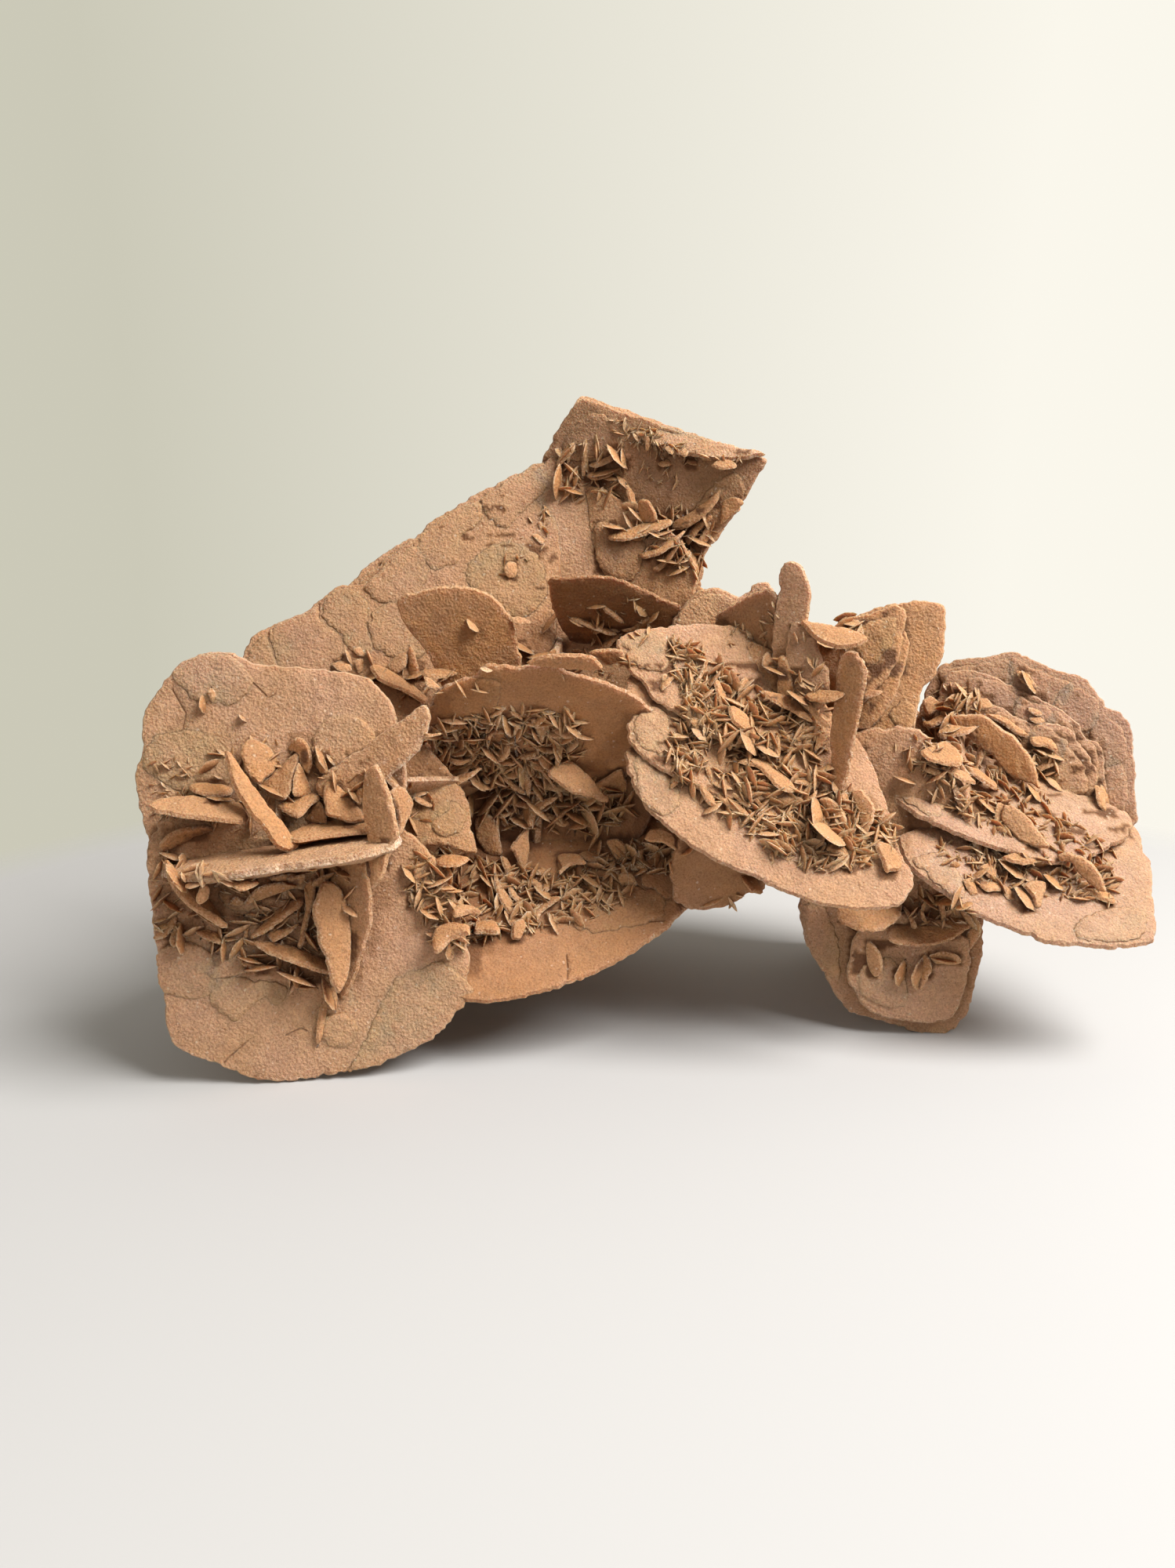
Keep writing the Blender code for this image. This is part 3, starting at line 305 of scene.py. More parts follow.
# the plate that carries them: how far the thin sheet stands out from its face, and its outline on
# the board, or the middle and the radius of a round one
LAMELLAE = {
    "left_top": (
        (0.7, ((-70.5, 72), (-69.5, 78), (-66, 82.5), (-61, 84), (-56.5, 82.5), (-53.5, 78),
            (-55, 72), (-62, 69))),
        (0.4, ((-113, 70), (-110, 78), (-100, 80), (-92, 76), (-90, 68), (-100, 62))),
        (0.5, ((-96, 99), (-88, 98), (-84, 92), (-90, 86), (-100, 88), (-104, 94)))),
    "left_foot": (
        (0.4, ((-64, -13), (-60, -5), (-56, 4), (-50, 14), (-38, 18), (-30, 10), (-35, 4), (-40, -2),
            (-50, -8))),
        (0.5, (-66, -1, 5.2)),
        (0.5, ((-100, 8), (-97, 3.2), (-93.4, 1.8), (-90.6, 4), (-88, 7), (-85, 8.6), (-82, 6.4),
            (-80, 12), (-98, 14))),
        (0.6, ((-113, 20), (-108, 24), (-100, 22), (-96, 12), (-104, 8), (-112, 10))),
        (0.5, (-90, 38, 6))),
    "inner_left": ((0.7, (-41, 62.5, 6.5)), (0.5, (-36, 57, 5)), (0.5, (-47, 55, 7))),
    "bowl_floor": (
        (0.8, ((14, 40), (21, 35.9), (26, 38.1), (30.3, 39.9), (32.6, 42), (34.6, 44.4), (34, 50),
            (18, 50))),
        (0.4, ((-52, 20), (-44, 16), (-34, 17), (-36, 28), (-50, 34))),
        (0.5, ((-4, 28), (4, 26.6), (12, 28), (20, 30), (18, 38), (0, 38)))),
    "bowl_lip": ((0.5, ((-40, 82), (-38, 89), (-30, 93), (-22, 92), (-24, 84), (-32, 80))),),
    "back_wall": (
        (0.44, ((-85, 97), (-83, 102), (-80, 104), (-78.4, 99), (-76.6, 95), (-80, 90))),
        (0.5, ((-77, 95), (-78.4, 100), (-79, 105.4), (-73, 108.4), (-67, 110), (-66.7, 107.6),
            (-62, 104.6),
               (-61, 99), (-64, 95), (-70, 92))),
        (0.39, ((-66, 108.4), (-64.6, 113), (-60, 115.6), (-55, 113), (-54, 108), (-54.8, 105),
            (-53.6, 100),
               (-58, 99), (-62, 104))),
        (0.44, ((-53, 100), (-54.6, 105.6), (-53, 110), (-47, 113), (-40, 110), (-38, 102), (-44, 97))),
        (0.55, ((-55, 116), (-48.6, 121.4), (-45.2, 124.6), (-41.6, 125.6), (-39.6, 121), (-40.4, 116),
               (-44, 112), (-52, 112))),
        (0.5, ((-42, 126), (-37, 131.4), (-32, 134.6), (-27, 136.6), (-25.4, 134.6), (-27, 131),
               (-31, 128), (-32, 122), (-38, 120))),
        (0.55, ((-26, 137), (-20, 141), (-12, 145.4), (-9, 143.6), (-9, 139.6), (-13, 136.4), (-17, 133),
               (-20, 130), (-24, 132))),
        (0.39, ((-30, 118), (-27, 124), (-20, 127), (-12, 124), (-10, 114), (-16, 108), (-24, 111)))),
    "back_wall_rear": ((0.8, ((-60, 112), (-52, 121), (-45, 125), (-40, 120), (-50, 108))),),
    "crest_foot": ((0.6, ((2, 131), (9, 130.4), (14, 126), (12, 118), (5, 118), (2, 124))),),
    "crest": (
        (0.6, ((-6, 150), (0, 157), (8, 155), (10, 150), (4, 146), (-4, 146))),
        (0.6, ((24, 131), (30, 140), (36, 143), (38, 138), (32, 130)))),
    "disc_low": (
        (0.5, ((12, 72), (14, 62), (20, 58), (24, 62), (20, 72), (16, 78))),),
    "disc_middle": ((0.5, ((12, 82), (13, 77), (18, 73), (22, 76), (20, 84), (15, 87))),),
    "disc_top": ((0.5, ((9, 102), (14, 104.4), (20, 104), (20, 96), (14, 95), (10, 98))),),
    "wing": ((0.5, ((76, 84), (79, 80), (82, 80.4), (82.6, 84), (80, 88))),),
    "wing_near": ((0.5, ((66, 104), (72, 108), (77, 108), (76, 101), (70, 96))),),
    "bunch_back": (
        (0.6, ((22, 108), (27, 113), (33, 114), (37, 111), (34, 105), (26, 104))),
        (0.6, ((40, 112), (43, 115.6), (46, 114), (46, 108), (41, 107)))),
    "fan_back": (
        (0.7, ((88, 95), (94, 96), (100, 97.4), (106, 97.6), (107, 92), (98, 88), (90, 90))),
        (0.8, ((106, 98), (112, 95.6), (117, 93.4), (122, 91.6), (120, 86), (112, 86), (105, 91))),
        (0.9, ((121, 92), (126, 89.6), (129, 86), (128, 80), (122, 80), (117, 86))),
        (0.8, ((128, 84.6), (133, 82.4), (136, 79), (136.6, 72), (131, 70), (127, 76))),
        (0.7, ((132, 73), (136, 71), (138, 64), (137, 57), (132, 58), (130, 66)))),
    "fan_terrace": (
        (0.7, ((96, 93), (103, 92), (107, 89.6), (110, 86.6), (106, 82), (97, 86))),
        (0.8, ((108, 88.4), (113, 86.8), (117, 84.6), (118, 80), (112, 79), (107, 83))),
        (0.7, ((118, 84.6), (122, 81.6), (124, 78), (123, 73), (117, 74), (114, 80))),
        (0.8, ((124, 77), (128, 76.4), (130, 72), (130, 64), (125, 65), (121, 71)))),
    "fan_step": (
        (0.8, ((104, 84.6), (110, 81.4), (114, 78), (112, 73), (105, 76), (101, 81))),
        (0.7, ((113, 81), (118, 79.6), (121.6, 76), (120, 70), (114, 71), (111, 76))),
        (0.8, ((120, 78), (124, 73.6), (127, 70), (128, 64), (122, 63), (118, 69)))),
    "apron_low": (
        (0.5, ((84, 46), (89, 41), (94, 37), (98, 36), (97, 42), (90, 48))),
        (0.5, ((128, 25), (138, 24), (145, 25), (145, 32), (136, 33), (128, 30)))),
    "apron_top": ((0.5, ((73, 67), (78, 63.6), (84, 60), (90, 57), (92, 60), (84, 66), (77, 69))),),
    "right_foot_near": ((0.5, ((72, 16), (72, 10), (77, 6), (84, 6), (84, 14), (78, 20))),),
    "right_foot": ((0.6, ((56, 34), (57, 26), (61, 19), (66, 13), (66, 22), (62, 33))),),
}

# plate: cracks in its face, as paths on the board
CRACKS = {
    "back_wall": (
        ((-66.3, 112.2), (-66.7, 107.6)), ((-48.7, 121.5), (-47.4, 120), (-45.4, 117.9)),
        ((-42.8, 125.5), (-40.6, 120)), ((-25.2, 137.3), (-25.5, 135.3), (-26.5, 132.7), (-29.7, 130)),
        ((-20, 118.5), (-21, 115), (-22.8, 112.8)), ((-64.3, 98), (-60.7, 95.1))),
    "left_top": (((-104, 90), (-101, 84), (-102, 80)), ((-84, 92), (-80, 88), (-78, 89))),
    "left_foot": (((-96.8, -9.6), (-93, -6), (-90.3, -3.6)), ((-80, -2), (-76, 0), (-74, -1))),
    "bowl_floor": (((4, 29.5), (12, 28.4), (20, 29)), ((-5.5, 11.5), (-5.2, 16), (-5.6, 20))),
    "wing": (((73.9, 105.7), (73, 103), (72.5, 101.2)),),
    "right_foot": (((65.5, 29.7), (72.2, 25.7)),),
    "disc_low": (((14, 66), (18, 64), (21, 66)),),
}

# small blades that stand on whatever the sight line meets: (ax, az, bx, bz) and tilt
LITTLE_BLADES = (
    # the left plates
    (-69, 76, -66, 69.3, 30), (-51.7, 69.3, -47, 63.2, 40), (-50.8, 65, -45.6, 57.5, 50),
    (-61.3, 65, -58, 60.8, 30), (-110.6, 35.3, -105.3, 31.6, 30), (-106.4, 29, -106, 20, 40),
    (-99.7, 25, -95.4, 23, 20), (-92, 19.7, -85, 17.6, 15), (-90.6, 16, -81, 17.2, 15),
    (-82.3, 16, -71, 11.2, 15), (-76.5, 17.4, -76.3, 10.6, 40), (-70, 14.7, -66.5, 4.6, 35),
    (-97, 89, -96.4, 84, 50), (-88, 84, -86, 82, 30), (-109, 45, -104, 37, 40), (-103.5, 34, -94, 27.6, 25),
    (-79.5, 40.5, -75, 39, 30), (-84, 66, -76.4, 62.2, 15), (-98, 63, -90, 61.6, 20),
    # the bowl
    (-8.7, 79, -7, 71.3, 30), (-14.5, 82, -11.5, 76, 35), (-7, 84, -1.5, 77.6, 30), (2.3, 66.2, 9, 64, 20),
    (-8.3, 58, -1, 62.2, 25), (1.5, 55, 4.5, 61, 30), (5.2, 56.5, 5.5, 62.5, 30), (-28, 78, -22, 71, 35),
    (-20, 66, -12, 60, 30), (-24, 62, -17, 66, 30), (-31, 70, -26, 64, 40), (-15, 70, -10, 64, 35),
    (-33, 44, -30, 50, 35), (-28, 42, -23, 38, 30), (-14, 39, -8, 35, 35), (-2, 42, 5, 38, 25),
    (-44, 33, -38, 30, 40), (-36, 24, -36, 18.6, 50), (-30, 28.6, -23, 26, 50), (-21, 29.6, -15, 27, 50),
    (7, 50, 12, 46, 40), (17, 50, 21, 54, 50), (24, 47, 28, 50, 40),
    # the wall and the crest
    (-2.8, 150.1, -7, 145.5, 30), (-6.7, 145.5, -7.6, 136.4, 35), (8.3, 149.3, 9.3, 143.2, 30),
    (0.5, 142.2, 7.9, 144.4, 20), (-6.2, 139.7, -0.6, 138, 20), (14.1, 129.7, 19.7, 127.4, 25),
    (17.4, 120.1, 22.8, 126.7, 25), (20.6, 120.5, 24.4, 124.4, 25), (25.2, 125.9, 27.9, 119, 30),
    (24, 128.4, 30.6, 125.6, 25), (3.5, 130.7, 9.5, 129.9, 15), (-15.7, 98.4, -5.7, 99.5, 25),
    (-46, 93, -40, 95, 30), (-38, 92, -33, 95.6, 30), (-57, 92.4, -50, 95.6, 30),
        (-30, 108, -27, 104.6, 50),
    (-20, 103, -13, 99, 25), (-12, 104, -7, 110, 30),
    # the bunch
    (62.8, 107, 68.2, 106.6, 25), (57.7, 111.1, 62.7, 105.9, 30), (56.2, 109.9, 59.5, 105.9, 30),
    (56, 103, 62, 100.8, 30), (44, 96, 52, 93.6, 20), (58.5, 116, 57.4, 111, 40), (50, 90, 57, 86, 25),
    # the right side
    (108.7, 95.1, 113, 89, 25), (88.6, 79.2, 94.5, 80.9, 30), (130.9, 65.9, 133.7, 58.8, 30),
    (110.7, 38.5, 117, 32.6, 35), (83.2, 18.8, 82.1, 11.2, 50), (87.8, 19.4, 87, 10.3, 55),
    (89.7, 19.4, 97.3, 18.3, 20), (106, 46, 114, 41, 35), (98, 40, 104, 44, 30), (118, 42, 124, 38, 30),
    (100, 62, 106, 58, 25), (86, 66, 92, 70, 30), (112, 66, 117, 61, 30), (78, 68, 84, 66, 15),
)

# fields of crystals: corners on the board, count, shortest, longest, how amber
CRYSTAL_FIELDS = {
    "near_disc_crystals": (
        (((20, 104), (29, 100), (32, 90), (34, 82), (30, 72), (24, 64), (20, 74),
            (24, 86)), 440, 1.7, 5.0, 0.4),
        (((29, 100), (39, 92), (49, 86), (60, 80), (62, 66), (50, 58), (34, 62),
            (32, 80)), 340, 2.2, 6.6, 0.5),
        (((24, 66), (34, 62), (50, 58), (62, 66), (68, 64), (79, 54), (80, 48), (71, 43), (59, 43),
            (47, 49),
          (34, 58)), 560, 1.8, 5.8, 0.4)),
    "bowl_crystals": (
        (((-37, 82), (-22, 86), (-3, 85), (0, 74), (-10, 69), (-22, 68), (-35, 70),
            (-42, 78)), 420, 2.0, 6.0, 0.55),
        (((-30, 68), (-10, 71), (4, 66), (11, 60), (4, 52), (-10, 54), (-22, 54),
            (-30, 60)), 200, 3.0, 9.0, 0.7),
        (((-46, 47), (-38, 49), (-22, 45), (-10, 43), (2, 49), (20, 52), (24, 45), (14, 39), (2, 30),
            (-10, 28),
          (-22, 26), (-37, 21), (-47, 35)), 720, 1.6, 6.0, 0.5),
        (((29, 35), (43, 39), (49, 37), (43, 33)), 14, 2.0, 5.0, 0.4)),
    "left_crystals": (
        (((-100, 72), (-83, 78), (-66, 74), (-50, 68), (-38, 64), (-40, 54), (-54, 54), (-75, 52),
            (-99, 54)),
         130, 1.6, 5.0, 0.35),
        (((-111, 49), (-97, 43), (-83, 41), (-67, 45), (-57, 43), (-63, 28), (-66, 11), (-78, 11),
            (-92, 20),
          (-102, 24), (-113, 26)), 230, 1.6, 6.0, 0.35),
        (((-111, 74), (-100, 72), (-102, 58), (-112, 56)), 60, 1.2, 3.0, 0.2)),
    "top_crystals": (
        (((-7, 149), (2, 151), (10, 146), (8, 136), (-2, 136), (-8, 140)), 70, 1.8, 6.5, 0.35),
        (((10, 136), (22, 136), (29, 135), (33, 125), (25, 117), (16, 123), (9, 129)), 100, 2.0, 6.5, 0.4),
        (((6, 157), (19, 151.6), (29, 147.6), (40, 147), (27, 144), (17, 147),
            (6, 151)), 120, 1.2, 3.4, 0.15),
        (((12, 146), (22, 143), (24, 139), (14, 142)), 16, 1.6, 3.6, 0.4),
        (((-63, 100), (-45, 97), (-37, 93), (-45, 88), (-57, 92)), 12, 1.6, 5.0, 0.4),
        (((-49, 94), (-25, 96), (-27, 90), (-41, 88)), 12, 2.0, 5.0, 0.5),
        (((-4, 112), (10, 114), (20, 108), (12, 100), (-2, 102)), 50, 1.5, 5.0, 0.9),
        (((-14, 100), (10, 100), (12, 94), (-6, 93)), 45, 1.5, 5.0, 0.8),
        (((-21, 125), (-11, 136), (-8, 133), (-13, 119), (-21, 117)), 30, 1.2, 3.4, 0.3)),
    "bunch_crystals": (
        (((39, 106), (49, 100), (60, 112), (70, 104), (61, 98), (59, 86), (49, 90)), 40, 2.0, 6.0, 0.4),
        (((54, 100), (60, 96), (62, 84), (60, 70), (54, 74), (50, 88)), 26, 2.0, 6.0, 0.5),
        (((30, 104), (44, 110), (48, 114), (47, 104), (38, 100)), 24, 1.2, 3.0, 0.3)),
    "right_crystals": (
        (((74, 74), (89, 82), (105, 80), (119, 74), (120, 66), (100, 66), (90, 68)), 200, 1.5, 5.5, 0.35),
        (((86, 92), (98, 90), (100, 82), (88, 80)), 60, 1.8, 6.0, 0.4),
        (((78, 72), (95, 74), (115, 64), (137, 47), (133, 42), (121, 47), (106, 52), (84, 64)),
         330, 1.3, 4.6, 0.3),
        (((90, 52), (109, 47), (128, 47), (138, 41), (137, 34), (119, 36), (101, 39), (92, 45)),
         300, 1.3, 4.4, 0.3),
        (((84, 37), (98, 37), (102, 28), (88, 28), (80, 33)), 50, 2.0, 6.5, 0.6)),
}
# windows on the camera's frame that the fins are drawn in: their left and top edges in the frame, and
# how much of the frame each of their own units takes
WINDOWS = {
    "left": (150, 800, 1 / 3),
    "disc": (760, 780, 1 / 4),
    "bowl": (480, 840, 1 / 4),
    "top": (560, 480, 1 / 3),
    "right": (1090, 800, 0.26),
}

# piece: its window and its fins, each the twist about its length, its thickness in mm, and its corners
# in the window as across, down, across, down; a fin grows from the plate behind its outline, and faces
# up, or right, where its twist is above 0
FINS = {
    "left_fins": ("left", (
        (30, 3.2, (408, 475, 440, 500, 500, 580, 560, 660, 620, 740, 660, 800, 690, 840, 650, 858, 600,
            840, 575, 800, 520, 740, 480, 690, 450, 630, 425, 550)),
        (55, 3.0, (110, 690, 160, 665, 250, 650, 330, 655, 420, 665, 480, 690, 500, 730, 470, 750, 400,
            748, 320, 740, 250, 735, 180, 720, 130, 712)),
        (-35, 2.0, (160, 830, 200, 790, 260, 765, 340, 758, 380, 775, 320, 800, 240, 830, 180, 860)),
        (60, 2.0, (280, 610, 340, 600, 400, 605, 440, 620, 430, 645, 370, 650, 290, 640)),
        (20, 1.8, (470, 490, 480, 450, 510, 432, 550, 438, 590, 470, 618, 510, 600, 545, 570, 580, 540,
            600, 500, 560)),
        (30, 1.8, (540, 605, 580, 570, 640, 510, 688, 478, 692, 520, 680, 570, 670, 620, 650, 660, 600,
            660, 560, 640)),
        (-35, 1.8, (655, 465, 680, 425, 710, 420, 735, 460, 745, 520, 735, 560, 700, 530, 690, 480)),
        (40, 1.6, (690, 520, 730, 600, 742, 640, 680, 650, 670, 620)),
        (-40, 1.4, (755, 455, 780, 480, 800, 520, 805, 560, 780, 555, 755, 510)),
        (50, 1.8, (610, 690, 640, 665, 700, 645, 760, 638, 775, 660, 740, 690, 720, 720, 690, 730, 650,
            720)),
        (-30, 1.6, (755, 640, 780, 680, 795, 720, 800, 755, 760, 755, 720, 740, 740, 700)),
        (25, 1.8, (790, 590, 830, 590, 880, 640, 930, 700, 948, 740, 900, 745, 830, 735, 800, 720, 788,
            650)),
        (-38, 2.2, (945, 590, 960, 550, 990, 528, 1020, 570, 1050, 650, 1070, 730, 1075, 800, 1050, 850,
            1020, 940, 1000, 980, 975, 1000, 965, 900, 960, 800, 940, 690)),
        (30, 1.2, (890, 640, 940, 610, 945, 640, 925, 680)),
        (30, 1.8, (1040, 640, 1070, 610, 1110, 620, 1130, 680, 1115, 740, 1080, 800, 1070, 720, 1055,
            670)),
        (30, 1.2, (1020, 555, 1060, 590, 1110, 640, 1100, 648, 1050, 612)),
        (50, 1.2, (1130, 640, 1170, 655, 1210, 680, 1190, 690, 1140, 665)),
        (66, 2.2, (650, 800, 720, 770, 820, 745, 920, 750, 1025, 770, 980, 790, 900, 800, 780, 812, 690,
            822, 650, 818)),
        (25, 2.6, (175, 900, 200, 890, 225, 920, 260, 990, 310, 1050, 380, 1100, 420, 1140, 410, 1152,
            350, 1125, 285, 1085, 220, 1020, 190, 960)),
        (50, 1.6, (440, 975, 480, 965, 540, 975, 520, 1000, 470, 1010, 445, 1000)),
        (-40, 1.6, (580, 960, 620, 990, 660, 990, 700, 960, 680, 940, 620, 945)),
        (-40, 1.6, (640, 960, 680, 1000, 710, 990, 720, 950)),
        (-40, 1.6, (740, 990, 780, 990, 830, 950, 850, 930, 790, 945, 760, 960)),
        (30, 2.4, (770, 990, 800, 970, 840, 985, 870, 1040, 888, 1120, 895, 1220, 885, 1330, 850, 1400,
            820, 1360, 790, 1270, 760, 1180, 750, 1080)),
        (-25, 1.6, (715, 1000, 735, 960, 755, 980, 755, 1040, 735, 1110, 710, 1220, 690, 1225, 700,
            1150, 720, 1080)),
        (45, 2.0, (510, 1185, 570, 1120, 640, 1060, 700, 1030, 700, 1070, 650, 1110, 600, 1150, 550,
            1180)),
        (-40, 1.6, (480, 1050, 540, 1000, 620, 975, 690, 990, 640, 1010, 560, 1040, 500, 1060)),
        (40, 1.2, (480, 1100, 520, 1090, 570, 1100, 540, 1112, 490, 1112)),
        (50, 2.6, (520, 1207, 580, 1210, 680, 1230, 760, 1260, 825, 1325, 780, 1322, 700, 1300, 620,
            1270, 560, 1240)),
        (40, 1.4, (455, 1255, 500, 1265, 560, 1290, 610, 1300, 540, 1314, 480, 1300)),
        (40, 1.4, (620, 1300, 680, 1330, 770, 1382, 730, 1374, 650, 1342)),
        (30, 1.2, (685, 1320, 697, 1300, 699, 1370, 690, 1387, 682, 1350)),
        (30, 1.8, (790, 1340, 810, 1320, 835, 1360, 845, 1430, 830, 1480, 815, 1420, 800, 1370)),
        (30, 1.8, (790, 1420, 805, 1390, 805, 1470, 790, 1550, 768, 1610, 755, 1600, 758, 1530, 770,
            1470)),
        (40, 1.6, (140, 1190, 170, 1150, 230, 1095, 222, 1140, 180, 1190, 150, 1197)),
        (40, 1.4, (165, 1030, 200, 1050, 240, 1085, 200, 1078, 165, 1055)),
        (30, 1.4, (200, 1200, 225, 1140, 242, 1130, 237, 1190, 225, 1230)),
        (50, 1.4, (300, 1165, 340, 1160, 400, 1180, 412, 1212, 350, 1200)),
        (40, 1.2, (310, 1150, 325, 1120, 335, 1160, 315, 1200)),
        (-30, 1.4, (300, 1040, 320, 980, 350, 1000, 345, 1040, 310, 1060)),
        (-30, 1.4, (420, 1060, 450, 1030, 500, 1050, 460, 1070)),
        (30, 1.4, (480, 1190, 490, 1120, 510, 1130, 505, 1190)),
        (40, 1.4, (570, 1160, 640, 1150, 700, 1130, 650, 1180, 590, 1210)),
        (30, 1.4, (345, 250, 358, 222, 378, 245, 380, 275, 362, 285)),
        (50, 2.6, (965, 150, 1000, 155, 1100, 205, 1185, 275, 1178, 295, 1080, 245, 1000, 205)),
        (-30, 1.4, (1115, 70, 1140, 100, 1160, 200, 1120, 190, 1110, 120)),
        (30, 1.4, (1030, 160, 1060, 110, 1110, 90, 1100, 150, 1060, 180)),
        (50, 1.6, (1165, 170, 1230, 160, 1300, 175, 1250, 200, 1180, 195)),
        (40, 1.2, (1170, 190, 1210, 205, 1235, 232, 1190, 226)),
        (30, 1.2, (900, 80, 930, 75, 947, 110, 920, 107)),
        (30, 1.2, (910, 130, 940, 120, 945, 170, 920, 172)),
        (40, 1.2, (820, 140, 880, 130, 895, 165, 840, 167)),
    )),
    "disc_fins": ("disc", (
        (-15, 2.2, (930, 240, 960, 220, 985, 260, 1010, 340, 1028, 420, 990, 440, 930, 420, 920, 330)),
        (40, 2.0, (835, 405, 900, 410, 1000, 440, 1060, 490, 1110, 560, 1050, 545, 960, 495, 880, 445)),
        (35, 2.0, (1030, 410, 1080, 440, 1140, 520, 1200, 595, 1150, 578, 1080, 500, 1035, 450)),
        (50, 2.0, (1060, 430, 1120, 405, 1200, 402, 1275, 410, 1250, 440, 1180, 460, 1100, 460)),
        (50, 1.6, (1375, 400, 1470, 400, 1430, 430, 1370, 440)),
        (40, 1.6, (820, 560, 860, 500, 900, 465, 890, 505, 850, 555)),
        (35, 1.8, (720, 480, 735, 370, 765, 330, 785, 360, 775, 430, 745, 490)),
        (35, 1.8, (600, 350, 630, 350, 650, 400, 680, 470, 690, 520, 650, 512, 620, 430)),
        (40, 2.4, (680, 480, 740, 500, 790, 550, 815, 620, 805, 680, 760, 620, 700, 560)),
        (25, 2.2, (660, 600, 675, 530, 695, 560, 705, 640, 700, 700, 670, 700)),
        (40, 2.0, (480, 470, 500, 370, 540, 300, 570, 240, 560, 300, 520, 380, 500, 450)),
        (30, 1.4, (385, 130, 410, 160, 425, 200, 405, 207)),
        (30, 1.4, (470, 150, 490, 210, 485, 270, 470, 230)),
        (40, 1.6, (320, 380, 370, 340, 440, 325, 400, 352, 340, 402)),
        (30, 1.2, (330, 370, 345, 320, 367, 320, 350, 362)),
        (30, 1.2, (400, 260, 440, 310, 450, 365, 420, 322)),
        (45, 2.2, (700, 760, 800, 750, 880, 770, 950, 830, 1000, 880, 1020, 915, 960, 922, 900, 880,
            830, 800, 760, 778)),
        (35, 2.0, (735, 770, 760, 820, 800, 900, 830, 960, 865, 1010, 830, 1000, 780, 910, 740, 830)),
        (40, 1.8, (865, 1010, 900, 1030, 965, 1085, 900, 1072, 860, 1035)),
        (30, 2.0, (520, 880, 560, 900, 610, 960, 620, 1010, 570, 980)),
        (50, 1.4, (600, 870, 660, 880, 705, 905, 660, 912, 610, 892)),
        (35, 1.8, (610, 920, 690, 960, 760, 1020, 790, 1055, 730, 1032, 650, 980)),
        (35, 1.6, (690, 920, 760, 960, 800, 1005, 740, 982)),
        (-30, 1.8, (860, 960, 940, 940, 1050, 950, 1060, 965, 980, 1010, 900, 1000)),
        (55, 1.6, (1000, 850, 1060, 860, 1125, 880, 1110, 902, 1040, 882, 1000, 872)),
        (40, 1.8, (1130, 880, 1125, 940, 1080, 990, 1030, 1035, 1070, 970, 1108, 920)),
        (45, 2.0, (935, 1020, 1000, 1040, 1070, 1090, 1110, 1140, 1050, 1112, 970, 1052)),
        (45, 2.0, (1090, 1070, 1180, 1120, 1290, 1195, 1220, 1182, 1130, 1122)),
        (40, 2.0, (1110, 950, 1140, 1000, 1180, 1060, 1200, 1110, 1160, 1092, 1120, 1010)),
        (-25, 2.4, (1140, 960, 1190, 950, 1240, 990, 1280, 1060, 1275, 1100, 1220, 1080, 1170, 1020)),
        (25, 1.8, (1250, 950, 1280, 930, 1310, 1050, 1305, 1080, 1280, 1040)),
        (-25, 2.6, (1310, 920, 1360, 910, 1410, 970, 1420, 1060, 1380, 1140, 1350, 1090, 1320, 1000)),
        (35, 2.2, (1170, 1220, 1200, 1180, 1240, 1180, 1280, 1220, 1305, 1330, 1270, 1285, 1220, 1240)),
        (30, 3.0, (1420, 1180, 1500, 1200, 1550, 1260, 1555, 1310, 1490, 1330, 1460, 1280)),
        (50, 1.8, (780, 1100, 850, 1070, 950, 1065, 900, 1095, 820, 1112)),
        (40, 1.6, (810, 610, 860, 640, 910, 690, 850, 672)),
        (30, 1.8, (920, 640, 935, 620, 945, 700, 930, 780, 915, 720)),
        (-35, 1.6, (920, 540, 960, 600, 1040, 690, 990, 662, 930, 582)),
        (-35, 1.8, (1020, 620, 1060, 570, 1110, 580, 1090, 620, 1040, 642)),
        (30, 2.0, (380, 910, 400, 840, 460, 765, 480, 790, 420, 880)),
        (30, 1.2, (890, 1240, 905, 1230, 907, 1290, 893, 1310)),
        (40, 1.4, (930, 1220, 1000, 1270, 1012, 1282, 940, 1252)),
        (25, 2.0, (560, 450, 600, 450, 640, 520, 630, 590, 610, 540, 590, 480)),
        (-30, 1.6, (1120, 600, 1185, 650, 1110, 720, 1100, 760, 1120, 680)),
        (30, 1.8, (1190, 1180, 1150, 1240, 1110, 1310, 1130, 1240, 1170, 1190)),
        (30, 1.6, (560, 800, 580, 790, 600, 860, 600, 920, 575, 860)),
        (45, 1.4, (480, 560, 500, 520, 540, 560, 520, 600)),
    )),
    "bowl_fins": ("bowl", (
        (35, 2.4, (880, 560, 940, 525, 1000, 525, 1060, 570, 1110, 620, 1150, 680, 1190, 710, 1180, 740,
            1090, 710, 1000, 690, 930, 640, 880, 600)),
        (-30, 2.0, (1120, 640, 1180, 600, 1250, 560, 1270, 600, 1280, 680, 1200, 682, 1140, 672)),
        (40, 1.6, (820, 515, 850, 540, 900, 620, 945, 690, 935, 705, 890, 640, 840, 570)),
        (-30, 1.8, (740, 540, 760, 530, 790, 620, 790, 690, 770, 700, 745, 620)),
        (40, 1.8, (630, 560, 680, 610, 740, 660, 770, 695, 720, 682, 660, 632)),
        (-15, 2.0, (505, 830, 535, 798, 580, 800, 610, 830, 635, 890, 645, 960, 640, 1010, 590, 1010,
            550, 990, 515, 920)),
